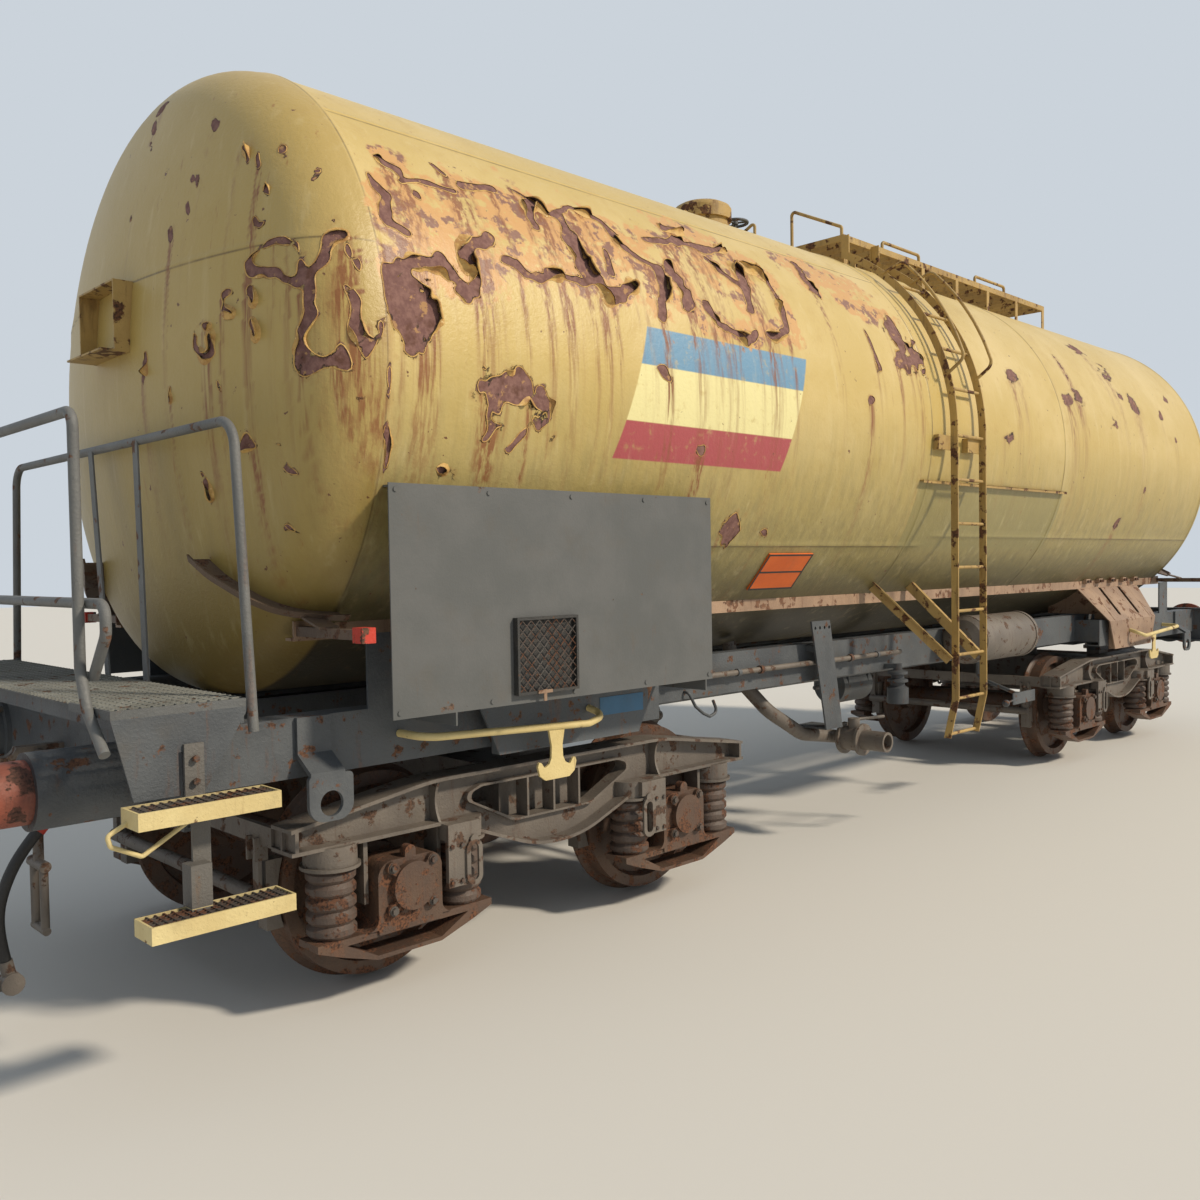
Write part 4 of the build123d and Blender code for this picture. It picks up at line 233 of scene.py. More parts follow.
def weathered(name, tones, bare, seed, relief=0.0007, other=None, where=None):
    """Old paint on steel: two tones of paint, rust through it in spots and streaks, and dust.

    tones are the two of the paint and the two of the rust.
    bare is the noise level above which rust shows: lower means more rust.
    where makes a mask from the tree, and other is the paint that shows inside it."""
    paint, tone, rust, dark = tones.split()
    made, tree = new_material(name)
    patches = spots(tree, 0.09, bare, bare + 0.05, seed=seed + 3)
    streaks = spots(tree, 0.05, bare - 0.02, bare + 0.12, stretch=(1, 1, 0.12), seed=seed + 5)
    grains = spots(tree, 0.012, 0.4, 0.65, seed=seed + 7)
    colour = two_tone(tree, paint, tone, 0.35, 0.35, 0.65, seed=seed)
    if where:
        colour = coat(tree, colour, other, where(tree))
    rusty = layer(tree, linear(rust), linear(dark), grains)
    colour = layer(tree, colour, rusty, both(tree, streaks, 0.45))
    colour = layer(tree, colour, rusty, patches)
    colour = coat(tree, colour, "5B5347", spots(tree, 0.2, 0.5, 0.8, seed=seed + 9), 0.35)
    finish_surface(tree, colour, ramp(tree, patches, 0, 1, 0.55, 0.9), grains, relief)
    return made


print("layers ready")

# %% [markdown]
# ## Materials
#
# The underframe has faded blue-grey enamel, the bogies are dusty cast steel, and the wheels and
# saddles rust. Each could get a shader of its own; one recipe with other colours and another rust
# level keeps the same light and dirt on all. The colours match those in the photograph.

# %% Steel
# Blue-grey enamel on the underframe, faded and rusting along its edges.
underframe_paint = weathered("underframe enamel", "55595C 45494D 6B4A36 3A2A22", 0.60, 1)
# Cast steel, dusty grey-brown with rust in patches.
bogie_steel = weathered("dusty cast steel", "615A53 726A61 614838 3A2D26", 0.57, 11)
# Spring steel, brown with scale.
spring_steel = weathered("spring steel", "4A3F39 5A4C43 65432F 2A1E19", 0.52, 17)
# Steel of wheels, axles and axle boxes: brown rust.
wheel_steel = weathered("rusted wheel steel", "5F4838 4E3D33 704A33 2E211A", 0.52, 23)
# Worn steel of the tank rails: light brown rust under dust.
worn_steel = weathered("worn rusty steel", "927862 A98D74 7A5741 553E30", 0.56, 25)
# Bolts and nuts, dark with rust.
bolt_steel = weathered("bolt steel", "55504B 463F3A 6B4630 2E231D", 0.50, 67)
# Galvanised gratings, dull zinc with rust at the crossings.
grating_zinc = weathered("galvanised steel", "5D5F5F 505251 6B5240 40342B", 0.62, 61)
# Bright wear on the top of the platform's grating.
tread_zinc = weathered("worn zinc", "85867F 74756F 6B5240 40342B", 0.60, 63)
print("steels:", len(bpy.data.materials), "materials")

# %% Enamel and rubber
# Ochre enamel with rust, on ladders and fittings of the tank.
ochre_steel = weathered("ochre enamel", "B89A5C A5874E 6E4A30 3E2A1E", 0.55, 53)
# Tube painted grey.
rail_grey = weathered("grey enamel", "6E6F6D 5E5F5E 70503C 3E2E26", 0.60, 59)
# Cream enamel on hooks and rope bars.
cream_paint = weathered("cream enamel", "D9C68C C9B47A 7A5A3C 4A3527", 0.62, 29)
# Orange-red lead paint on buffers.
buffer_red = weathered("red lead paint", "93503C 7E4738 5E4036 33251F", 0.52, 37)
# Dull red enamel of the end cock.
signal_red = weathered("red enamel", "B5392B 9C3327 6B4436 3A2822", 0.64, 41)
# Anthracite enamel on the sign boards, slightly faded.
board_grey = weathered("anthracite enamel", "5F605F 565857 6E5646 3D332C", 0.68, 43, 0.0002)
# Black enamel of the document boxes and of the plates' borders; behind the boxes' wires it is painted
# shade.
black_paint = weathered("black enamel", "2C2C2B 353432 5A4334 2E231D", 0.66, 71)
# Signal-orange enamel of the blank plates.
orange_paint = weathered("orange enamel", "DD6A24 CF5F20 7A4E36 4A3327", 0.72, 73, 0.0002)
# Blue enamel of the small plate on the sill.
blue_paint = weathered("blue enamel", "3F6F93 38627F 6B4B38 3A2B23", 0.68, 79, 0.0002)
# Rubber of the hose.
hose_rubber = weathered("hose rubber", "1E1E1F 262524 2E2A26 171616", 0.70, 47)
hose_curve.materials.append(hose_rubber)
print("enamels:", len(bpy.data.materials), "materials")

# %% [markdown]
# ### Solids with two colours
#
# The near saddle keeps its enamel and the far one has lost it, the lamp arms have red ends, and
# the corner steps have cream rims round bare treads. Each is one solid. It could be cut up, but
# the CAD stays as it is, so a mask over its coordinates picks the second colour.


# %% Two colours
def near_saddle(tree):
    """All that lies on the near half of the car."""
    return compare(tree, coordinates(tree)[0], -6.0, 0.0)


def arm_ends(tree):
    """The blocks at the ends of the lamp arms."""
    return compare(tree, coordinates(tree)[1], 1.404, 1.6)


def steel_part(tree):
    """The struts and treads of the corner steps: all but the rims of the trays and the grips."""
    x, off_middle, z = coordinates(tree)
    strut = compare(tree, off_middle, 1.0, 1.356)
    foot = both(tree, compare(tree, x, -5.70, -5.55), compare(tree, z, 0.702, 0.90))
    deck = compare(tree, off_middle, 1.3605, 1.4915)
    upper = both(tree, deck, compare(tree, x, -5.8815, -5.3955), compare(tree, z, 1.0, 1.0795, 0.0002))
    lower = both(tree, deck, compare(tree, x, -5.8485, -5.3485), compare(tree, z, 0.62, 0.6995, 0.0002))
    return either(tree, strut, foot, upper, lower)


# Steel of the saddles, light brown; blue-grey enamel on the near one.
tones = "8C735F A1866E 7A5741 553E30"
saddle_steel = weathered("saddle steel", tones, 0.57, 27, other="565B5F", where=near_saddle)
# Dark steel of the lamp arms, with red enamel on the blocks at their ends.
tones = "6F5B49 5E4D40 6B4B38 3A2B23"
arm_steel = weathered("arm steel with red ends", tones, 0.55, 42, other="C23A28", where=arm_ends)
# Cream enamel on the rims of the steps, bare dark steel on their struts and treads.
tones = "DCCB94 CDB982 7A5A3C 4A3527"
step_paint = weathered("cream and bare steel", tones, 0.62, 31, other="65625D", where=steel_part)
print("materials", len(bpy.data.materials))

# %% [markdown]
# ### Dress the solids
#
# Each solid of the frame takes the material of the real piece. They could be listed one by one; a
# table of how their names start is shorter, and what it leaves out is the underframe's enamel.

# %% Dress the solids
dressing = (
    (
        bogie_steel,
        ("bogie_frame", "brake_gear", "brake_tube", "air_reservoir", "hose_coupling", "screw_couplings")
        + ("draw_hooks", "discharge_pipes", "discharge_valves"),
    ),
    (spring_steel, ("springs",)),
    (wheel_steel, ("axle_", "wheels_")),
    (worn_steel, ("tank_rails",)),
    (saddle_steel, ("saddles",)),
    (arm_steel, ("lamp_arms",)),
    (step_paint, ("corner_steps",)),
    (cream_paint, ("rope_hooks",)),
    (grating_zinc, ("platform_deck",)),
    (rail_grey, ("front_handrail", "rear_handrail")),
    (ochre_steel, ("ladders", "walkway", "head_bracket", "manhole")),
    (board_grey, ("sign_boards",)),
    (black_paint, ("document_boxes",)),
    (buffer_red, ("buffer_heads",)),
    (signal_red, ("end_cocks",)),
)
for name, solid in nodes.items():
    fitting = (material for material, starts in dressing if name.startswith(starts))
    solid.data.materials.clear()
    solid.data.materials.append(next(fitting, underframe_paint))
print("dressed", len(nodes), "solids")

# %% [markdown]
# ## Tank
#
# The tank's ochre coating has come off in patches and in long bands, down to red-brown steel. That
# could be left to noise, but then it would be another tank. Each bare or stained place is a row of
# a table instead, measured on the photograph: on the side by x and the angle above the horizon, on
# the head by y and z.

# %% Bare patches on the side
# x, angle, half length, half height in degrees, weight
side_peels = [
    (-4.76, 6.5, 0.11, 4.6, 1.1), (-1.24, 18.5, 0.02, 5, 0.9), (-0.88, 24.5, 0.08, 5.5, 1.1),
    (-0.86, 17, 0.14, 3, 0.85), (-0.72, 20, 0.1, 4.5, 1), (-4.22, -3, 0.09, 3, 1.1),
    (-4.36, -5.5, 0.09, 4.5, 0.7), (-4.08, -6.5, 0.1, 5, 0.7), (-4.54, -18.5, 0.05, 1.4, 1),
    (-3.28, 5, 0.06, 1.6, 1), (-2.97, -10.8, 0.04, 1.4, 1), (-2.57, -27.5, 0.09, 3.8, 0.9),
    (-2.24, -28, 0.05, 1.4, 0.9), (-1.39, 5, 0.035, 1, 0.95), (0.77, 21, 0.08, 2.4, 0.75),
    (1.68, 17, 0.09, 2.6, 0.85), (1.92, 19, 0.09, 3, 0.85), (2.6, 13, 0.06, 2, 0.85),
    (2.93, 34, 0.13, 3.8, 0.7), (2.96, 24, 0.06, 2, 0.85), (3.26, 21, 0.09, 3.6, 0.75),
    (3.88, 20, 0.04, 1.8, 1), (4.12, 11, 0.04, 1.2, 1), (1.88, 31, 0.03, 6, 0.9),
    (2.86, -22.5, 0.05, 2, 1), (0.5, 1.5, 0.1, 1.6, 0.7), (3.32, -10, 0.04, 1.4, 0.85),
    (2.7, 45, 0.14, 2.6, 0.8), (4.3, 28, 0.05, 2, 0.9),
]
print(len(side_peels), "bare patches")

# %% Stained places on the side
# Old coating that still holds between the bare bands, in the same columns
side_stains = [
    (-4.8, 29, 0.06, 3, 1), (-4.72, 13, 0.16, 2.6, 1.1), (-4.47, 14.5, 0.17, 3, 1.1),
    (-4.66, 34.5, 0.07, 2.5, 0.9), (-4.62, 22, 0.24, 7, 0.62), (-4.45, 31.5, 0.22, 1.6, 0.8),
    (-4.2, 34.5, 0.16, 2.6, 1), (-4.06, 30, 0.16, 7.5, 0.72), (-4.36, 21.5, 0.07, 3.5, 0.9),
    (-4.1, 18, 0.15, 2.2, 1), (-3.9, 33, 0.1, 4, 1), (-3.74, 30, 0.15, 6, 0.95),
    (-3.52, 31, 0.2, 6, 0.95), (-3.62, 24, 0.1, 6.5, 0.9), (-3.82, 19, 0.17, 2.6, 1),
    (-3.56, 18.3, 0.17, 2.6, 1), (-3.34, 27.5, 0.17, 2.6, 0.9), (-3.22, 20.5, 0.08, 5.5, 1),
    (-3.02, 27, 0.08, 4, 1), (-2.96, 22.5, 0.06, 5.5, 1), (-3.05, 19.5, 0.1, 1.8, 0.9),
    (-3.08, 34.5, 0.18, 2.6, 0.95), (-2.86, 39.5, 0.1, 4.5, 1), (-2.66, 43, 0.18, 2.4, 0.95),
    (-2.7, 32, 0.09, 5, 0.9), (-2.55, 38, 0.12, 2.2, 0.9), (-2.66, 15, 0.2, 2.4, 0.95),
    (-2.5, 29, 0.06, 5, 0.9), (-2.41, 32, 0.06, 5, 1), (-2.27, 36, 0.16, 2.2, 1),
    (-2.12, 31, 0.05, 5, 1), (-2.1, 23, 0.05, 6, 1.05), (-2.24, 16.5, 0.18, 2.4, 1.05),
    (-2.43, 21, 0.07, 4, 0.95), (-1.62, 41.5, 0.18, 4.5, 0.95), (-1.66, 36.5, 0.09, 3, 0.95),
    (-1.3, 39.5, 0.28, 3.6, 0.9), (-1.32, 33, 0.07, 4, 1), (-1.02, 31, 0.2, 3, 0.85),
]
print(len(side_stains), "stains")

# %% Bare bands on the side
# Half width, then x and angle of each place along it
side_bands = [
    (0.024, -4.83, 30.2, -4.8, 28, -4.76, 26.7, -4.77, 23.8, -4.77, 21, -4.72, 20.1),
    (0.032, -4.71, 34.1, -4.66, 32.8), (0.015, -4.41, 37.5, -4.38, 35.2),
    (0.015, -4.66, 30.6, -4.56, 31.8, -4.47, 32, -4.38, 31.2), (0.019, -4.6, 28.7, -4.58, 27.2),
    (0.026, -4.33, 33.8, -4.22, 34.6, -4.09, 36), (0.013, -3.98, 37.8, -3.9, 35.2, -3.83, 32.8),
    (0.029, -3.94, 33.5, -3.94, 29.4),
    (0.016, -3.79, 33.2, -3.63, 37.6, -3.52, 37.1, -3.42, 36.6, -3.36, 32.6),
    (0.047, -3.74, 33.2, -3.75, 28.5, -3.72, 24.5, -3.71, 20.5),
    (0.037, -4.83, 11.2, -4.75, 13.6, -4.65, 15.5, -4.57, 15.8, -4.51, 13.4, -4.47, 11.5, -4.4, 13.2),
    (0.029, -4.4, 13.6, -4.43, 17.5, -4.37, 21.2, -4.27, 22.8),
    (0.032, -4.75, 10.8, -4.81, 7.6, -4.82, 4.6, -4.76, 2, -4.68, 4.8, -4.66, 6.9, -4.71, 8.6),
    (0.024, -4.2, 19, -4.1, 17.2, -3.98, 17.7), (0.029, -3.94, 18.8, -3.85, 18.4, -3.73, 18.4),
    (0.032, -3.7, 19.7, -3.62, 19, -3.6, 16.8, -3.5, 17.5, -3.41, 20.1),
    (0.019, -3.51, 27.4, -3.53, 21.9), (0.019, -3.42, 36.6, -3.39, 30.1, -3.27, 28.1, -3.15, 25.8),
    (0.032, -3.15, 25.8, -3.16, 22.1, -3.21, 14.8), (0.039, -3.06, 27.9, -3, 24.8, -2.99, 19.3),
    (0.026, -3.16, 34.2, -2.98, 35.3, -2.8, 37.6), (0.021, -2.89, 40.8, -2.72, 41.9),
    (0.024, -2.87, 35.6, -2.65, 36.5, -2.39, 38.9), (0.019, -2.66, 34.1, -2.61, 31, -2.47, 27.8),
    (0.024, -2.35, 35.4, -2.19, 33.7, -2.13, 28, -2.13, 22.4, -2.14, 18.6, -2.3, 14.9, -2.36, 16.1),
    (0.034, -2.4, 32.7, -2.42, 26.9, -2.44, 21.8),
    (0.026, -2.83, 19.8, -2.77, 15.5, -2.66, 14.8, -2.57, 13.4, -2.46, 16.6),
    (0.037, -1.65, 42.5, -1.65, 37.7, -1.65, 33.1), (0.029, -4.28, -1.1, -4.21, -1.9, -4.21, -6.1),
    (0.019, -4.41, -3.4, -4.37, -4.5, -4.34, -7.1),
    (0.016, -4.17, -3.8, -4.1, -2.7, -4.04, -4.7, -4.01, -7.4, -4.11, -10.6),
    (0.015, -4.22, -13.8, -4.15, -10.9), (0.019, -3.3, 5.4, -3.28, 3.1, -3.21, 2.4),
    (0.019, -2.96, -10.2, -2.95, -11.6), (0.021, -4.58, -17.8, -4.5, -18.7),
    (0.012, -4.86, -2.6, -4.86, -9, -4.84, -19.3),
]
print(len(side_bands), "bands on the side")

# %% Bare bands on the head
# Half width, then y and z of each place along it
head_bands = [
    (0.021, -1.06, 3.53, -1.08, 3.48),
    (0.015, -1, 3.07, -1.05, 3.11, -1.11, 3.13, -1.19, 3.13, -1.25, 3.06, -1.25, 2.99),
    (0.022, -1, 3.07, -1.03, 3.03, -1.14, 3, -1.2, 2.96, -1.25, 2.97),
    (0.024, -1.35, 3.13, -1.32, 3.13, -1.33, 3.04, -1.31, 3.02, -1.28, 2.98),
    (0.024, -1.29, 2.98, -1.29, 2.89, -1.3, 2.83, -1.28, 2.81, -1.25, 2.76, -1.24, 2.68),
    (0.042, -1.25, 2.66, -1.27, 2.64, -1.35, 2.63, -1.38, 2.65), (0.021, -1.38, 2.65, -1.38, 2.7),
    (0.016, -1.36, 3.09, -1.39, 3.04, -1.4, 2.98), (0.016, -1.39, 2.93, -1.41, 2.89, -1.41, 2.85),
    (0.026, -1.41, 2.79, -1.42, 2.73, -1.43, 2.7, -1.44, 2.73, -1.44, 2.79),
    (0.015, -0.77, 2.85, -0.71, 2.86, -0.68, 2.83, -0.69, 2.77, -0.75, 2.72, -0.8, 2.75, -0.8, 2.81),
    (0.016, -0.9, 2.97, -0.85, 2.96, -0.86, 2.91, -0.91, 2.88), (0.017, -1.01, 2.97, -1.02, 2.92),
    (0.017, -1.02, 2.83, -1.04, 2.78), (0.02, -0.32, 2.79, -0.3, 2.7),
    (0.015, -1.41, 2.52, -1.42, 2.52), (0.015, -0.55, 3.51, -0.6, 3.5, -0.59, 3.47),
    (0.013, -0.61, 3.75, -0.64, 3.71, -0.65, 3.74), (0.015, -0.45, 3.31, -0.47, 3.26),
    (0.015, -1, 3.25, -1.03, 3.2, -1.06, 3.22), (0.013, -1.03, 3.36, -1.05, 3.34),
    (0.013, -0.55, 3.39, -0.57, 3.35), (0.012, -0.85, 3.58, -0.9, 3.5),
    (0.013, -0.95, 3.52, -0.98, 3.46), (0.024, -0.03, 3.98, -0.13, 4),
    (0.019, -0.02, 3.92, -0.06, 3.86), (0.013, -0.06, 3.8, -0.09, 3.76),
    (0.012, -0.05, 3.46, -0.05, 3.45), (0.013, 0.18, 3.48, 0.17, 3.43),
    (0.013, -0.82, 2.61, -0.84, 2.58), (0.013, -1.21, 3.42, -1.22, 3.38),
    (0.013, -1.32, 3.19, -1.33, 3.17), (0.012, -0.5, 2.63, -0.5, 2.58),
    (0.016, -1, 2.36, -0.93, 2.36, -0.95, 2.4),
    (0.015, -1.09, 2.38, -1.13, 2.33, -1.15, 2.26, -1.19, 2.24),
    (0.015, -0.66, 2.26, -0.69, 2.2, -0.7, 2.14), (0.015, -0.6, 1.95, -0.66, 1.9, -0.63, 1.83),
    (0.015, -1.1, 2.02, -1.14, 1.96),
]
print(len(head_bands), "bands on the head")

# %% [markdown]
# ### How bare a place is
#
# The tables give middles and lines, and the coating's edge wanders round them. Two measures turn a
# point's distance from them into one number: 1.25 in the middle, 0.5 on the edge and less beyond.


# %% Measures
def nearness(u, v, rows):
    """The measure for patches, given by their middles, half sizes and weight."""
    best = np.full(u.shape, -1.0)
    for centre_u, centre_v, half_u, half_v, weight in rows:
        away = np.sqrt(((u - centre_u) / half_u) ** 2 + ((v - centre_v) / half_v) ** 2)
        best = np.maximum(best, weight * (1.25 - 0.75 * away))
    return best


def along_bands(places, bands):
    """The measure for bands: places is an array of points, and so is each band's line."""
    best = np.full(len(places), -1.0)
    for half_width, line in bands:
        for start, end in zip(line[:-1], line[1:]):
            run = end - start
            share = np.clip((places - start) @ run / (run @ run), 0, 1)
            away = np.linalg.norm(places - start - share[:, None] * run, axis=1) / half_width
            best = np.maximum(best, 1.25 - 0.75 * away)
    return best


def roughen(points, grain, seed):
    """Smooth noise from -1 to 1 with grains of a size in metres."""
    shift = Vector((seed, seed, seed))
    return np.array([noise.noise(Vector(p) / grain + shift) for p in points])


print("measures ready")

# %% [markdown]
# ### Shell
#
# The real shell is rolled plates between two dished ends, with proud weld beads. The CAD's mesh is
# too coarse to hold the coating's edge, and an even fine mesh would waste triangles on the far
# side. So the same profile carries a grid that is fine only where the coating peels.

# %% Profile of the tank
tank_radius, tank_z = 1.445, 2.713
barrel_half = 4.86
crown_radius, knuckle_radius = 3.6, 0.29
crown_angle = math.asin((tank_radius - knuckle_radius) / (crown_radius - knuckle_radius))
crown_x = barrel_half + crown_radius - (crown_radius - knuckle_radius) * math.cos(crown_angle)
# Weld beads: rings round the tank, and lines along it at an angle from x to x
weld_half_width, weld_rise = 0.016, 0.006
ring_welds = (-barrel_half, -0.64, 1.48, barrel_half)
line_welds = [(-31.5, -2.7, -0.44), (-28.5, -0.35, barrel_half), (47.0, -barrel_half, -0.65)]
head_weld_z = 3.14
print("heads", round(crown_x - barrel_half, 3), "m deep")


def stations(spans, beads):
    """Values from spans of start, stop and step, with the beads' values among them."""
    plain = [np.arange(start, stop - 1e-6, step) for start, stop, step in spans]
    return np.unique(np.concatenate(plain + [beads]).round(5))


def head_stations(count):
    """Distance beyond the barrel and radius, from the crown out to the barrel."""
    crown = [
        (crown_x - barrel_half - crown_radius * (1 - math.cos(a)), crown_radius * math.sin(a))
        for a in np.linspace(0.0004, crown_angle, count)
    ]
    knuckle = [
        (knuckle_radius * math.cos(a), tank_radius - knuckle_radius + knuckle_radius * math.sin(a))
        for a in np.linspace(crown_angle, math.pi / 2, 12)[1:-1]
    ]
    return crown + knuckle


# %% Grid
spans = [(-180, -90, 3.6), (-90, -40, 2.5), (-40, -14, 2.0), (-14, 5, 1.0), (5, 47, 0.55), (47, 90, 2.0)]
beads = [angle + shift for angle, _, _ in line_welds for shift in (-0.55, 0.0, 0.55)]
angles = np.radians(stations(spans + [(90, 180, 3.6)], beads))
spans = [(-barrel_half, -1.6, 0.014), (-1.6, -0.5, 0.02), (-0.5, 4.2, 0.07), (4.2, barrel_half, 0.1)]
beads = [x + shift for x in ring_welds[1:3] for shift in (-0.014, 0.0, 0.014)]
barrel_x = stations(spans, beads + [-barrel_half + 0.014, barrel_half - 0.014, barrel_half])
near_head = [(-barrel_half - reach, radius) for reach, radius in head_stations(84)]
far_head = [(barrel_half + reach, radius) for reach, radius in reversed(head_stations(14))]
profile = np.array(near_head + [(x, tank_radius) for x in barrel_x] + far_head)
across, round_it = len(angles), len(profile)
grid_x = np.repeat(profile[:, 0], across)
grid_r = np.repeat(profile[:, 1], across)
grid_a = np.tile(angles, round_it)
print("grid", round_it, "by", across)

# %% Weld beads
off_weld = np.min([np.abs(grid_x - x) for x in ring_welds], axis=0)
for angle, start, stop in line_welds:
    beside = grid_r * np.abs(grid_a - math.radians(angle))
    off_weld = np.minimum(off_weld, np.where((grid_x > start) & (grid_x < stop), beside, 1))
on_heads = np.abs(grid_x) > barrel_half + 0.002
off_weld = np.where(on_heads, np.abs(tank_z + grid_r * np.sin(grid_a) - head_weld_z), off_weld)
bead = np.clip(1 - off_weld / weld_half_width, 0, 1)
shell_r = grid_r + weld_rise * bead * ~on_heads
shell_x = grid_x + weld_rise * bead * on_heads * np.sign(grid_x)
shell = np.stack([shell_x, -shell_r * np.cos(grid_a), tank_z + shell_r * np.sin(grid_a)], 1)
print("tank mesh", len(shell), "vertices")

# %% [markdown]
# ### Bare steel and rust runs
#
# Each vertex of the shell carries three numbers: how bare the steel is, how much rust has run down
# to it, and how stained the coating is. They could be computed in the shader, but only the mesh
# knows what lies above a point. The far side repeats the near one, a little closer together.

# %% Bare and stained places
far_side_share = 0.93
side_angle = np.degrees(grid_a)
mirrored = np.abs(side_angle) > 90
folded = np.where(mirrored, np.where(side_angle > 0, 180 - side_angle, -180 - side_angle), side_angle)
along = np.where(mirrored, -far_side_share * grid_x, grid_x)
noises = ((0.16, 3.1), (0.16, 27.4), (0.11, 51.7), (0.045, 71.3), (0.022, 91.9))
wander, drift, coarse, fine, finer = (roughen(shell, grain, seed) for grain, seed in noises)
edge = coarse * 0.62 + fine * 0.60 + finer * 0.34
head_x, head_radii = np.array(near_head).T


def on_arc(x, angle):
    """A place on the side, rolled out flat."""
    return np.array([x, math.radians(angle) * tank_radius])


def on_head(y, z):
    """A place on the near head."""
    return np.array([np.interp(math.hypot(y, z - tank_z), head_radii, head_x), y, z])


def band_lines(bands, placed):
    """Each band's half width, and its line as placed points."""
    return [(half, [placed(u, v) for u, v in zip(row[::2], row[1::2])]) for half, *row in bands]


unrolled = np.stack([along + wander * 0.035, np.radians(folded + drift * 1.4) * tank_radius], 1)
side_lines, head_lines = band_lines(side_bands, on_arc), band_lines(head_bands, on_head)
patches = nearness(along + wander * 0.045, folded + drift * 1.6, side_peels)
side_bare = np.maximum(along_bands(unrolled, side_lines), patches)
head_bare = along_bands(shell + np.stack([wander, drift, coarse], 1) * 0.02, head_lines)
is_head = grid_x < -barrel_half
bare = np.where(is_head, head_bare - 0.5, side_bare - 0.5) + edge * 0.8
bare = np.where(grid_x > barrel_half, -0.6 + edge, bare)
bare = np.clip(bare, -1, 1)
stain = nearness(along + wander * 0.06, folded + drift * 2.0, side_stains) + coarse * 0.5 + fine * 0.3
stain = np.where(is_head, 0, np.clip(stain, 0, 1))
print("bare share", round(float((bare > 0).mean()), 3))


# %% Rust runs
def run_down(chosen, level_place):
    """Rust that has run down from bare places: a raster of small cells, swept from the top."""
    cell, lane_width, fall = 0.016, 0.045, 0.42
    lane = ((level_place + 7) / cell).astype(int)
    row = ((4.4 - shell[:, 2]) / cell).astype(int)
    raster = np.zeros((row.max() + 1, lane.max() + 1))
    np.maximum.at(raster, (row[chosen], lane[chosen]), np.clip(bare[chosen] * 4, 0, 1))
    lanes = [noise.noise(Vector((index * cell / lane_width, 7.7, 0))) for index in range(lane.max() + 1)]
    raster *= np.clip(np.array(lanes) * 1.8 + 0.25, 0, 1)
    for step in range(1, len(raster)):
        raster[step] = np.maximum(raster[step], raster[step - 1] * math.exp(-cell / fall))
    return np.where(chosen, raster[row, lane], 0)


near_side = (shell[:, 1] < 0) & ~is_head
far_side = ~near_side & ~is_head
runs = run_down(is_head, shell[:, 1]) + run_down(near_side, grid_x) + run_down(far_side, grid_x)
print("rusty share", round(float((runs > 0.1).mean()), 3))

# %% Faces
index = np.arange(len(shell)).reshape(round_it, across)
faces = []
for row in range(round_it - 1):
    for column in range(across):
        beside = (column + 1) % across
        faces.append((*index[row, [column, beside]], *index[row + 1, [beside, column]]))
faces += [tuple(int(i) for i in index[0][::-1]), tuple(int(i) for i in index[-1])]
print("faces", len(faces))

# %% [markdown]
# ### Coating
#
# Years of weather lie on the ochre enamel: fading, dirt, stripes, pale washings, rust. Painted shade
# darkens the near head, grime and painted shadow lines lie below the welds, and painted shade turns
# the tank's bottom nearly black. One baked image could hold them; here each is a coat over the last,
# so that any can be changed alone. The tank is greener and darker lower down, with streaks of grime.

# %% Ochre enamel
tank_paint, tree = new_material("ochre tank enamel")
tank_x, off_middle, height_z = coordinates(tree)
colour = two_tone(tree, "C5AC66", "D2BB7E", 0.8, 0.35, 0.7, seed=2)
colour = coat(tree, colour, "BB9E58", spots(tree, 0.16, 0.52, 0.72, detail=7, seed=4), 0.5)
low_part = ramp(tree, height_z, 2.80, 1.80)
colour = coat(tree, colour, "8A8150", low_part, 0.85)
grime = spots(tree, 0.06, 0.35, 0.75, stretch=(1, 1, 0.06), detail=4, seed=6)
colour = coat(tree, colour, "6F6744", grime, low_part, 0.55)
# Painted shade: nearly black towards the tank's bottom, where it lies in shade.
colour = coat(tree, colour, "38342A", ramp(tree, height_z, 1.95, 1.52), 0.92)
print("enamel:", len(tree.nodes), "nodes")

# %% Painted shade on the near head, grime and painted shadow below the welds
on_near_head = compare(tree, tank_x, -6.0, -4.872, 0.01)
# Painted shade: the near head is darker, as it faces away from the sun.
colour = coat(tree, colour, "A98F4C", on_near_head, 0.6)
# Grime and painted shadow: thin dark lines beside each weld bead, on its side away from the sun and below
# it.
weld_grime_and_shadow = [compare(tree, tank_x, x - 0.011, x - 0.005, 0.003) for x in ring_welds]
on_any_head = either(tree, on_near_head, compare(tree, tank_x, 4.872, 6.0))
below_weld = compare(tree, height_z, head_weld_z - 0.012, head_weld_z - 0.005, 0.003)
weld_grime_and_shadow.append(both(tree, on_any_head, below_weld))
for angle, start, stop in line_welds:
    low_z = tank_z + tank_radius * math.sin(math.radians(angle)) - 0.012
    below_weld = compare(tree, height_z, low_z, low_z + 0.006, 0.003)
    weld_grime_and_shadow.append(both(tree, compare(tree, tank_x, start, stop), below_weld))
patchy = ramp(tree, spots(tree, 0.2, 0.3, 0.6), 0, 1, 0.35, 0.8)
colour = coat(tree, colour, "5C4A2C", either(tree, *weld_grime_and_shadow), patchy)
print("welds:", len(tree.nodes), "nodes")

# %% [markdown]
# The strip below the ledge was painted over in a greener tone, and nearer the platform stands a
# slanted field of three stripes. A thin panel could carry them, but they are paint, so masks of
# the height and of a slanted length draw them on the shell, worn where the noise is high.

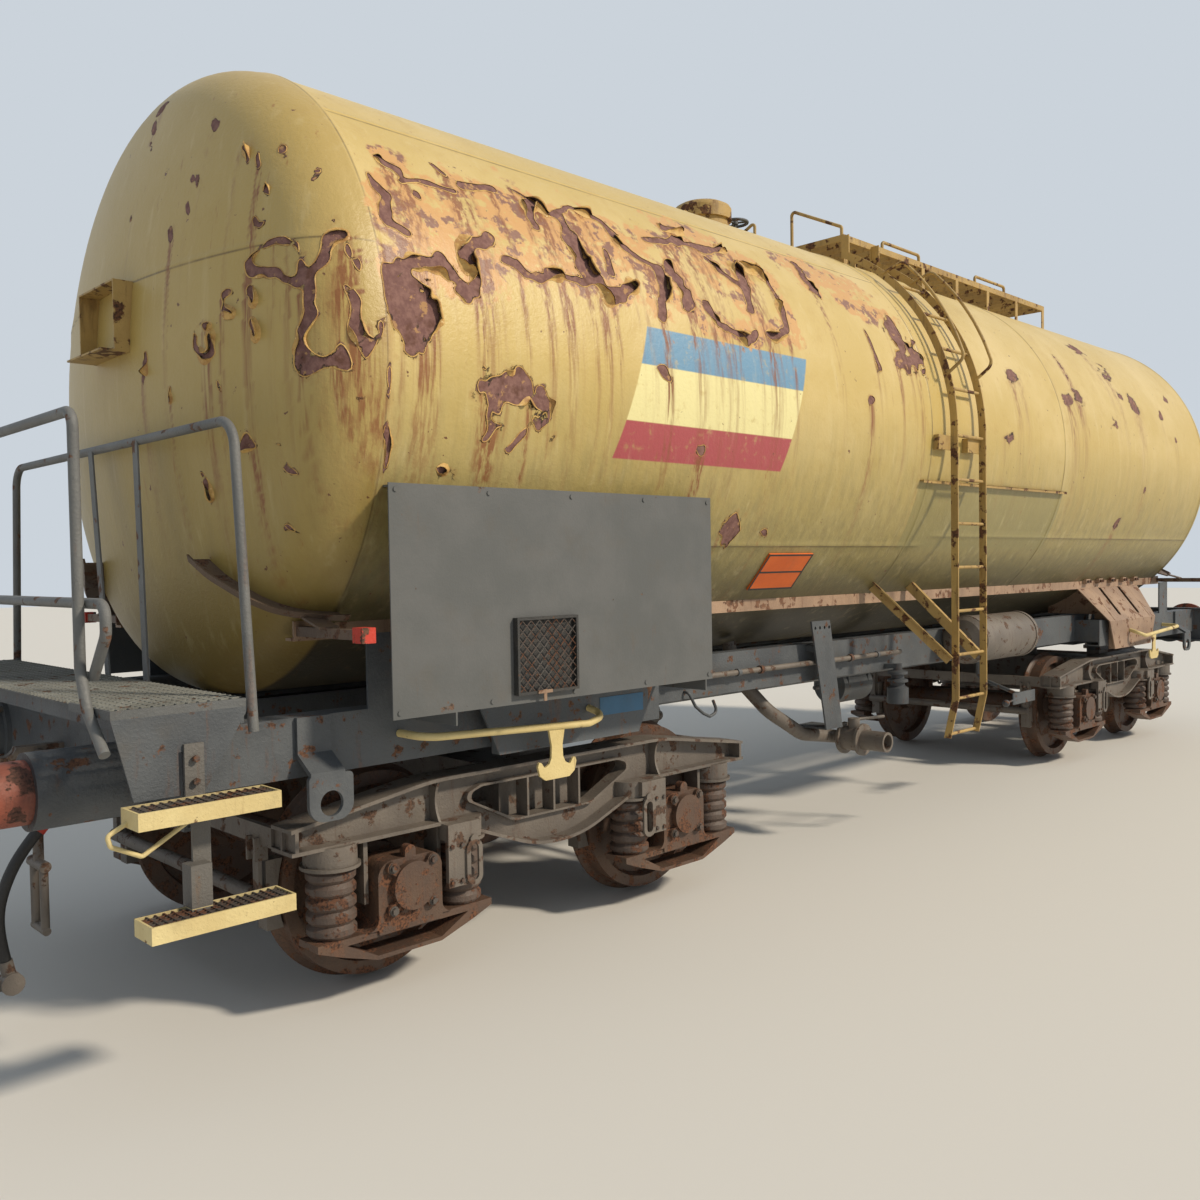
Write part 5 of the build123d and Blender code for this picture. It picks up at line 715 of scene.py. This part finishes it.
# %% Repainted strip and stripes
strip = compare(tree, tank_x, -0.74, 1.53, 0.006)
colour = coat(tree, colour, "8C8455", strip, compare(tree, height_z, 1.93, 2.385, 0.02), 0.7)
slant = add(tree, "Math", {0: height_z, 1: -0.375, 2: tank_x}, operation="MULTIPLY_ADD")
field_x = compare(tree, slant, -4.486, -3.157, 0.004)
on_side = compare(tree, off_middle, 1.3, 1.5)
wear = ramp(tree, spots(tree, 0.05, 0.55, 0.75, seed=30), 0, 1, 0.92, 0.45)
for stripe, low_z, high_z in (("5E93B8", 2.822, 3.013), ("E9E0A4", 2.545, 2.822), ("A8404F", 2.363, 2.545)):
    band = compare(tree, height_z, low_z, high_z, 0.003)
    colour = coat(tree, colour, stripe, field_x, band, on_side, wear)
print("stripes:", len(tree.nodes), "nodes")

# %% [markdown]
# Lime washes down in pale lanes. Where old coating still holds between the bare bands it is tan and
# mottled, and rust comes through it and runs down in thin lanes. The mesh says where; noise
# stretched along the height breaks the runs into lanes.

# %% Washings, stains and rust runs
names = ("bare", "runs", "stain")
fields = [add(tree, "Attribute", attribute_name=name).outputs["Fac"] for name in names]
bare_value, run_value, stain_value = fields
place = add(tree, "TexCoord").outputs["Object"]
ragged = {"Vector": place, "Scale": 60, "Detail": 6, "Roughness": 0.7}
ragged = ramp(tree, add(tree, "TexNoise", ragged).outputs["Fac"], 0.25, 0.75, -0.14, 0.14)
level_of = add(tree, "Math", {0: bare_value, 1: ragged}, operation="ADD")
pale = spots(tree, 0.07, 0.55, 0.8, stretch=(1, 1, 0.05), detail=3, seed=8)
colour = coat(tree, colour, "E0D2A4", pale, 0.22)
stain_edge = both(tree, stain_value, spots(tree, 0.05, 0.3, 0.7, detail=8, seed=35))
stain_mask = ramp(tree, stain_edge, 0.06, 0.20, 0.0, 0.9)
colour = coat(tree, colour, "CB9A5E", stain_mask)
colour = coat(tree, colour, "7C5448", stain_mask, spots(tree, 0.12, 0.53, 0.57, detail=9, seed=36))
lanes = spots(tree, 0.022, 0.35, 0.65, stretch=(1, 1, 0.05), detail=3, seed=10)
colour = coat(tree, colour, "85502B", ramp(tree, both(tree, run_value, lanes), 0.0, 0.55, 0.0, 0.9))
halo = ramp(tree, level_of, -0.3, 0.0)
colour = coat(tree, colour, "A27640", halo, spots(tree, 0.06, 0.4, 0.6, seed=34), 0.5)
colour = coat(tree, colour, "6B452C", spots(tree, 0.05, 0.68, 0.71, detail=8, seed=12))
drips = spots(tree, 0.035, 0.66, 0.78, stretch=(1, 1, 0.03), detail=3, seed=13)
colour = coat(tree, colour, "94602F", drips, 0.6)
print("rust runs:", len(tree.nodes), "nodes")

# %% [markdown]
# Bare steel keeps a red-brown primer with lighter and darker rust, and painted shadow darkens a rim
# in places where the lifted coating ends. The coating stands above it: the same mask gives the relief.

# %% Bare steel
bare_mask = ramp(tree, level_of, 0.0, 0.03)
primer = two_tone(tree, "6E4C47", "86635A", 0.03, 0.35, 0.65, seed=14)
primer = coat(tree, primer, "5E3C2F", spots(tree, 0.08, 0.5, 0.7, seed=16))
primer = coat(tree, primer, "A98258", spots(tree, 0.05, 0.60, 0.66, seed=17))
colour = layer(tree, colour, primer, bare_mask)
# Painted shadow: a dark rim in places along the coating's edge, where the lifted coating would shade the
# steel.
shadow_rim_out, shadow_rim_in = ramp(tree, level_of, -0.05, 0.01), ramp(tree, level_of, 0.05, 0.12, 1.0, 0.0)
colour = coat(tree, colour, "2A1B14", shadow_rim_out, shadow_rim_in, spots(tree, 0.10, 0.42, 0.58, seed=33))
step = ramp(tree, level_of, -0.06, 0.02, 1.0, 0.0)
relief = {0: spots(tree, 0.02, 0.3, 0.7, seed=18), 1: 0.12, 2: step}
height = add(tree, "Math", relief, operation="MULTIPLY_ADD")
finish_surface(tree, colour, ramp(tree, bare_mask, 0, 1, 0.42, 0.85), height, 0.006)
tank = make_object("tank_shell", shell, faces, tank_paint)
for name, values in zip(names, (bare, runs, stain)):
    tank.data.attributes.new(name, "FLOAT", "POINT").data.foreach_set("value", values.astype(np.float32))
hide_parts("tank")
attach(tank, "car")
print("tank shell", len(tank.data.vertices), "vertices")

# %% [markdown]
# ### Curled coating
#
# Along each bare place the thick coating stands off the steel: a low lip everywhere, and curls
# here and there. Displacing the shell can't fold it over itself, so thin strips are laid along
# the edge: the line on the shell's grid where bareness changes its sign.


# %% Edge of the coating
def edge_points(values, rows, columns):
    """Lines where a grid of values crosses zero, each a list of pairs of neighbouring places."""
    links = {}
    for row in rows[:-1]:
        for column in columns[:-1]:
            cell = [(row, column), (row, column + 1), (row + 1, column + 1), (row + 1, column)]
            pairs = [tuple(sorted(pair)) for pair in zip(cell, cell[1:] + cell[:1])]
            cuts = [pair for pair in pairs if (values[pair[0]] > 0) != (values[pair[1]] > 0)]
            if len(cuts) == 2:
                links.setdefault(cuts[0], []).append(cuts[1])
                links.setdefault(cuts[1], []).append(cuts[0])
    lines, seen = [], set()
    for start in sorted(links, key=lambda cut: len(links[cut])):
        if start in seen:
            continue
        line, current = [], start
        while current is not None:
            seen.add(current)
            line.append(current)
            current = next((cut for cut in links[current] if cut not in seen), None)
        if len(line) > 5:
            lines.append(line)
    return lines


values = bare.reshape(round_it, across)
points = shell.reshape(round_it, across, 3)
fine_rows = range(20, len(near_head) + 290)
fine_columns = range(*np.searchsorted(np.degrees(angles), [-40, 47]))
lines = edge_points(values, fine_rows, fine_columns)
print("edges", len(lines), "lines")


# %% Places along an edge
def edge_path(line):
    """Places along an edge, smoothed, with the ways along it and off the shell."""
    path = []
    for first, second in line:
        share = values[first] / (values[first] - values[second])
        path.append(points[first] * (1 - share) + points[second] * share)
    path = np.array(path)
    for _ in range(2):
        path[1:-1] = path[1:-1] * 0.5 + (path[:-2] + path[2:]) * 0.25
    tangent = np.gradient(path, axis=0)
    tangent /= np.maximum(np.linalg.norm(tangent, axis=1, keepdims=True), 1e-9)
    out = path - np.array([0, 0, tank_z])
    out[:, 0] = -np.maximum(-barrel_half - path[:, 0], 0) * 3.0
    return path, tangent, out / np.linalg.norm(out, axis=1, keepdims=True)

print("longest edge", max(len(line) for line in lines), "places")

# %% Curls
lip_height, curl_height, curl_grain = 0.0015, 0.036, 0.13
# Section of a curl: share towards the steel, share off it
curl_section = [(-0.9, -0.02), (-0.35, 0.16), (0.1, 0.5), (0.35, 0.92), (0.15, 1.15)]


def curl_mesh(lines):
    """Vertices and faces of the lips and curls on both their sides."""
    vertices, upper, lower = [], [], []
    for line in lines:
        path, tangent, out = edge_path(line)
        count, middle = len(path), len(path) // 2
        # inward points from the coating to the bare steel
        inward = np.cross(out, tangent)
        first, second = line[middle]
        paint_end = points[first] if values[first] < 0 else points[second]
        if np.dot(inward[middle], path[middle] - paint_end) < 0:
            inward = -inward
        lift = np.array([noise.noise(Vector(p) / curl_grain + Vector((5.5, 1.5, 8.5))) for p in path])
        lift = lip_height + curl_height * np.clip(lift * 2.2 - 0.35, 0, 1)
        ends = np.minimum(np.arange(count), np.arange(count)[::-1]) / 4
        lift = (lift * np.clip(ends, 0.1, 1))[:, None]
        base = len(vertices)
        for sheet, off in ((curl_section, 0.0012), (curl_section[::-1], -0.0008)):
            for share_in, share_out in sheet:
                reach = inward * (share_in * (lift * 0.9 + 0.003))
                vertices.extend(path + reach + out * (share_out * lift + off))
        for strip in range(2 * len(curl_section) - 1):
            side = upper if strip < len(curl_section) - 1 else lower
            for step in range(count - 1):
                a = base + strip * count + step
                side.append((a, a + 1, a + count + 1, a + count))
    return vertices, upper, lower


vertices, upper, lower = curl_mesh(lines)
print("curls", len(vertices), "vertices")

# %% Coating's face and back
flake_paint, tree = new_material("curled coating")
flake_tone = two_tone(tree, "CFA85F", "A97C42", 0.05, 0.4, 0.65, seed=20)
flake_tone = coat(tree, flake_tone, "E0C48C", spots(tree, 0.02, 0.6, 0.7, seed=21))
finish_surface(tree, flake_tone, 0.55, spots(tree, 0.01, 0.3, 0.7, seed=22), 0.001)
flake_back, tree = new_material("back of the coating")
back_tone = two_tone(tree, "2B1C15", "4A3224", 0.03, 0.4, 0.65, seed=23)
finish_surface(tree, back_tone, 0.9, spots(tree, 0.01, 0.3, 0.7, seed=24), 0.001)
curls = make_object("curled_coating", vertices, upper + lower, flake_paint)
curls.data.materials.append(flake_back)
curls.data.polygons.foreach_set("material_index", [0] * len(upper) + [1] * len(lower))
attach(curls, "car")
print("curls", len(curls.data.polygons), "faces")

# %% [markdown]
# ## Small solids
#
# Plates, bars, wires and bolts are outlines drawn out along a line. A modifier on a flat mesh could
# draw each out; one function does it in any direction, and one joins many of them in one object.


# %% Small solids
def hexagon(radius, sides=6):
    """Corners of a regular outline, given as pairs."""
    turns = [2 * math.pi * (index + 0.5) / sides for index in range(sides)]
    return [(radius * math.cos(turn), radius * math.sin(turn)) for turn in turns]


def oblong(width, height):
    """Corners of an upright rectangle about its middle."""
    return [(a * width / 2, b * height / 2) for a, b in ((-1, -1), (1, -1), (1, 1), (-1, 1))]


def piece(place, axis, outline, length):
    """An outline drawn out along an axis: its first coordinate is level, its second rises."""
    place, axis = Vector(place), Vector(axis).normalized()
    sideways = Vector((0, 0, 1)).cross(axis)
    sideways = sideways.normalized() if sideways.length > 0.01 else Vector((1, 0, 0))
    rising = axis.cross(sideways)
    ring = [place + sideways * a + rising * b for a, b in outline]
    count = len(ring)
    faces = [tuple(range(count))[::-1], tuple(range(count, 2 * count))]
    faces += [(i, (i + 1) % count, (i + 1) % count + count, i + count) for i in range(count)]
    return ring + [point + axis * length for point in ring], faces


def gather(name, pieces, material, body="car"):
    """One object from many small pieces, riding on a body."""
    vertices, faces = [], []
    for points, sides in pieces:
        base = len(vertices)
        vertices += points
        faces += [tuple(base + i for i in side) for side in sides]
    made = make_object(name, vertices, faces, material, False)
    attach(made, body)
    print(name, len(pieces), "pieces")


print("a bolt head has", len(piece((0, 0, 0), (0, 0, 1), hexagon(1), 1)[1]), "faces")

# %% [markdown]
# ## Plates, lugs and the ledge on the tank
#
# A blank orange plate with black lines is fixed flat against each side, a thin ledge sheds water
# above the repainted strip, and bolted lugs hold each tank rail over the saddles. Painting them
# would leave them without edges, so each is a thin solid laid on the shell, on both sides at once.

# %% Plates, lugs and ledge
pivot_x = 3.68
plate_x, plate_angle, plate_size, plate_thickness = -1.898, math.radians(-39.0), (0.44, 0.27), 0.012
border_width, border_rise = 0.012, 0.001
ledge_x, ledge_length = -0.74, 2.27
lug_z = 1.630
plates, borders, ledges, lugs, lug_bolts = [], [], [], [], []
for side in (-1, 1):
    outward = Vector((0, side * math.cos(plate_angle), math.sin(plate_angle)))
    rising = Vector((0, -side * math.sin(plate_angle), math.cos(plate_angle)))
    foot = Vector((plate_x, 0, tank_z)) + outward * (tank_radius - 0.004)
    plates.append(piece(foot, outward, oblong(*plate_size), plate_thickness))
    for height in (-0.5, 0.0, 0.5):
        place = foot + rising * height * (plate_size[1] - border_width) + outward * plate_thickness
        borders.append(piece(place, outward, oblong(plate_size[0], border_width), border_rise))
    for end in (-0.5, 0.5):
        place = foot + Vector((end * (plate_size[0] - border_width), 0, 0)) + outward * plate_thickness
        borders.append(piece(place, outward, oblong(border_width, plate_size[1]), border_rise + 0.0002))
    for y, z, size in ((1.419, 2.381, (0.036, 0.006)), (1.435, 2.374, (0.004, 0.020))):
        ledges.append(piece((ledge_x, side * y, z), (1, 0, 0), oblong(*size), ledge_length))
    for x in [end * pivot_x + shift for end in (-1, 1) for shift in (-0.6, -0.3, 0.0, 0.3, 0.6)]:
        lugs.append(piece((x, side * 0.93, lug_z), (0, side, 0), oblong(0.09, 0.046), 0.07))
        for beside in (-0.024, 0.024):
            lug_bolts.append(piece((x + beside, side, lug_z), (0, side, 0), hexagon(0.013), 0.018))
gather("orange_plates", plates, orange_paint)
gather("plate_borders", borders, black_paint)
gather("ledges", ledges, ochre_steel)
gather("rail_lugs", lugs, worn_steel)
gather("lug_bolts", lug_bolts, bolt_steel)

# %% [markdown]
# ## Boards and document boxes
#
# Round-headed bolts hold the blank sign boards along their edges. Each document box is a black
# pocket behind a lattice of diagonal wires, with a latch below. A lattice could be a pattern in the
# material, but from near by it would look flat, so the wires are thin rods before a black back that
# is painted shade inside the pocket.

# %% Boards and boxes
board_y, edge_z = 1.48, (1.295, 2.165)
heads = [
    piece((x, side * board_y, z), (0, side, 0), hexagon(0.010, 10), 0.005)
    for side in (-1, 1)
    for x in (-4.87, -4.41, -3.94, -3.47, -3.005)
    for z in edge_z
]
gather("board_bolts", heads, board_grey)
box_x, box_z, box_width, box_height = -4.279, 1.321, 0.330, 0.307
latch_x, latch_y = -4.143, 1.510
wire_y, wire_pitch, wire_radius = 1.503, 0.048, 0.0025
wires, backs, latches = [], [], []
for side in (-1, 1):
    middle = (box_x + box_width / 2, side * (board_y + 0.0002), box_z + box_height / 2)
    # Painted shade: the black back stands for the shade inside the pocket.
    backs.append(piece(middle, (0, side, 0), oblong(box_width, box_height), 0.001))
    for start in np.arange(wire_pitch / 2 - box_height, box_width, wire_pitch):
        low = (max(start, 0), max(-start, 0))
        high = (min(start + box_height, box_width), min(box_height, box_width - start))
        for lean in (1, -1):
            ends = [(p[0] if lean > 0 else box_width - p[0], p[1]) for p in (low, high)]
            first, second = (Vector((box_x + a, side * wire_y, box_z + b)) for a, b in ends)
            wires.append(piece(first, second - first, hexagon(wire_radius), (second - first).length))
    for z, size, depth in ((1.316, (0.081, 0.014), 0.006), (1.300, (0.016, 0.05), 0.005)):
        latches.append(piece((latch_x, side * latch_y, z), (0, side, 0), oblong(*size), depth))
gather("box_wires", wires, bolt_steel)
gather("box_backs", backs, black_paint)
gather("box_latches", latches, worn_steel)
blue_plates = [
    piece((-3.345, side * 1.190, 1.155), (0, side, 0), oblong(0.31, 0.09), 0.003) for side in (-1, 1)
]
gather("blue_plates", blue_plates, blue_paint)

# %% [markdown]
# ## Treads and gratings
#
# The steps' treads are gratings of crossed bars, lower than the painted rims, and thin bars cross
# the carrying bars of the platform's deck. An array modifier could repeat one bar; a loop puts them
# all in one mesh, with a whole number of them between the rims.

# %% Treads
tread_pitch, deck_pitch = 0.030, 0.040
treads = []
for side in (-1, 1):
    for start, length, top in ((-5.882, 0.487, 1.078), (-5.849, 0.501, 0.698)):
        count = round(length / tread_pitch)
        for index in range(1, count):
            place = (start + length * index / count, side * 1.360, top - 0.005)
            treads.append(piece(place, (0, side, 0), oblong(0.005, 0.010), 0.132))
        for y in (1.382, 1.404, 1.426, 1.448, 1.470):
            place = (start, side * y, top - 0.006)
            treads.append(piece(place, (1, 0, 0), oblong(0.005, 0.008), length))
gather("step_treads", treads, bolt_steel)
deck_bars = []
for y in np.arange(-1.31, 1.311, deck_pitch):
    deck_bars.append(piece((-5.902, y, 1.398), (1, 0, 0), oblong(0.006, 0.012), 0.464))
for x in np.arange(-5.88, -5.44, deck_pitch):
    deck_bars.append(piece((x, -1.332, 1.398), (0, 1, 0), oblong(0.006, 0.010), 2.664))
gather("deck_bars", deck_bars, tread_zinc)

# %% [markdown]
# ## Bolts
#
# Bolts hold the axle box covers, friction boxes, buffers, steps and tube clips. Copies of one bolt
# would each be a piece of their own; one mesh for each body turns with it and stays light.

# %% Bolts
axle_offset, axle_z = 0.9, 0.488
buffer_y, buffer_z = 0.875, 1.088


def corners(a, b):
    """The four corners of a rectangle about its middle, from its half sizes."""
    return [(-a, -b), (-a, b), (a, -b), (a, b)]


for end, body in ((-1, "bogie_near"), (1, "bogie_far")):
    bolts = []
    for side, axle in corners(1, 1):
        x = end * pivot_x + axle * axle_offset
        for beside, lift in corners(0.103, 0.092):
            place = (x + beside, side * 1.127, axle_z + lift)
            bolts.append(piece(place, (0, side, 0), hexagon(0.022, 12), 0.004))
            bolts.append(piece(place, (0, side, 0), hexagon(0.016), 0.016))
        for inward, lift in corners(0.028, 0.080):
            place = (x - axle * (0.228 + inward), side * 1.135, 0.535 + lift)
            bolts.append(piece(place, (0, side, 0), hexagon(0.011), 0.010))
    gather("bolts_" + body, bolts, bolt_steel, body)
bolts = []
for end, side in corners(1, 1):
    for beside, lift in corners(0.116, 0.116):
        place = (end * 5.652, side * buffer_y + beside, buffer_z + lift)
        bolts.append(piece(place, (end, 0, 0), hexagon(0.016), 0.016))
for side in (-1, 1):
    for z in (1.13, 1.21):
        bolts.append(piece((-5.634, side * 1.360, z), (0, side, 0), hexagon(0.013), 0.012))
for x in (-2.7, -1.9, -0.9):
    bolts.append(piece((x, -0.960, 1.200), (1, 0, 0), hexagon(0.026, 12), 0.030))
gather("bolts_car", bolts, bolt_steel)

# %% [markdown]
# ## Floor and light
#
# The car stood in low sun under a pale sky. A sky texture could light it; a warm sun and an even
# world are simpler, and the world can be dimmer as a light than as the camera's backdrop.

# %% Floor
floor_size = 120
floor_material, tree = new_material("pale floor")
surface = add(tree, "BsdfPrincipled", {"Base Color": linear("D8D6D0"), "Roughness": 0.85})
add(tree, "OutputMaterial", {"Surface": surface})
floor_corners = [(a, b, 0) for a, b in oblong(floor_size, floor_size)]
floor = make_object("floor", floor_corners, [(0, 1, 2, 3)], floor_material, False)
print("floor", floor_size, "m")

# %% Light
world = bpy.data.worlds.new("studio")
bpy.context.scene.world = world
world.use_nodes = True
world.node_tree.nodes.clear()
tree = world.node_tree
rays = add(tree, "LightPath").outputs
seen = either(tree, *(rays[kind] for kind in ("Is Camera Ray", "Is Glossy Ray", "Is Transmission Ray")))
lit = add(tree, "Background", {"Color": linear("CDD6E0"), "Strength": 0.6})
shown = add(tree, "Background", {"Color": linear("CBD3DB"), "Strength": 1.0})
sky = add(tree, "MixShader", {0: seen, 1: lit, 2: shown})
add(tree, "OutputWorld", {"Surface": sky})
sun_data = bpy.data.lights.new("sun", "SUN")
sun_data.energy = 3.2
sun_data.angle = math.radians(6)
sun_data.color = linear("FFF1DC")[:3]
sun = bpy.data.objects.new("sun", sun_data)
sun.rotation_euler = Vector((-0.55, 1.0, -0.85)).to_track_quat("-Z", "Y").to_euler()
bpy.context.scene.collection.objects.link(sun)
bpy.context.scene.view_settings.view_transform = "Standard"
print("sun", sun_data.energy, "W/m2")
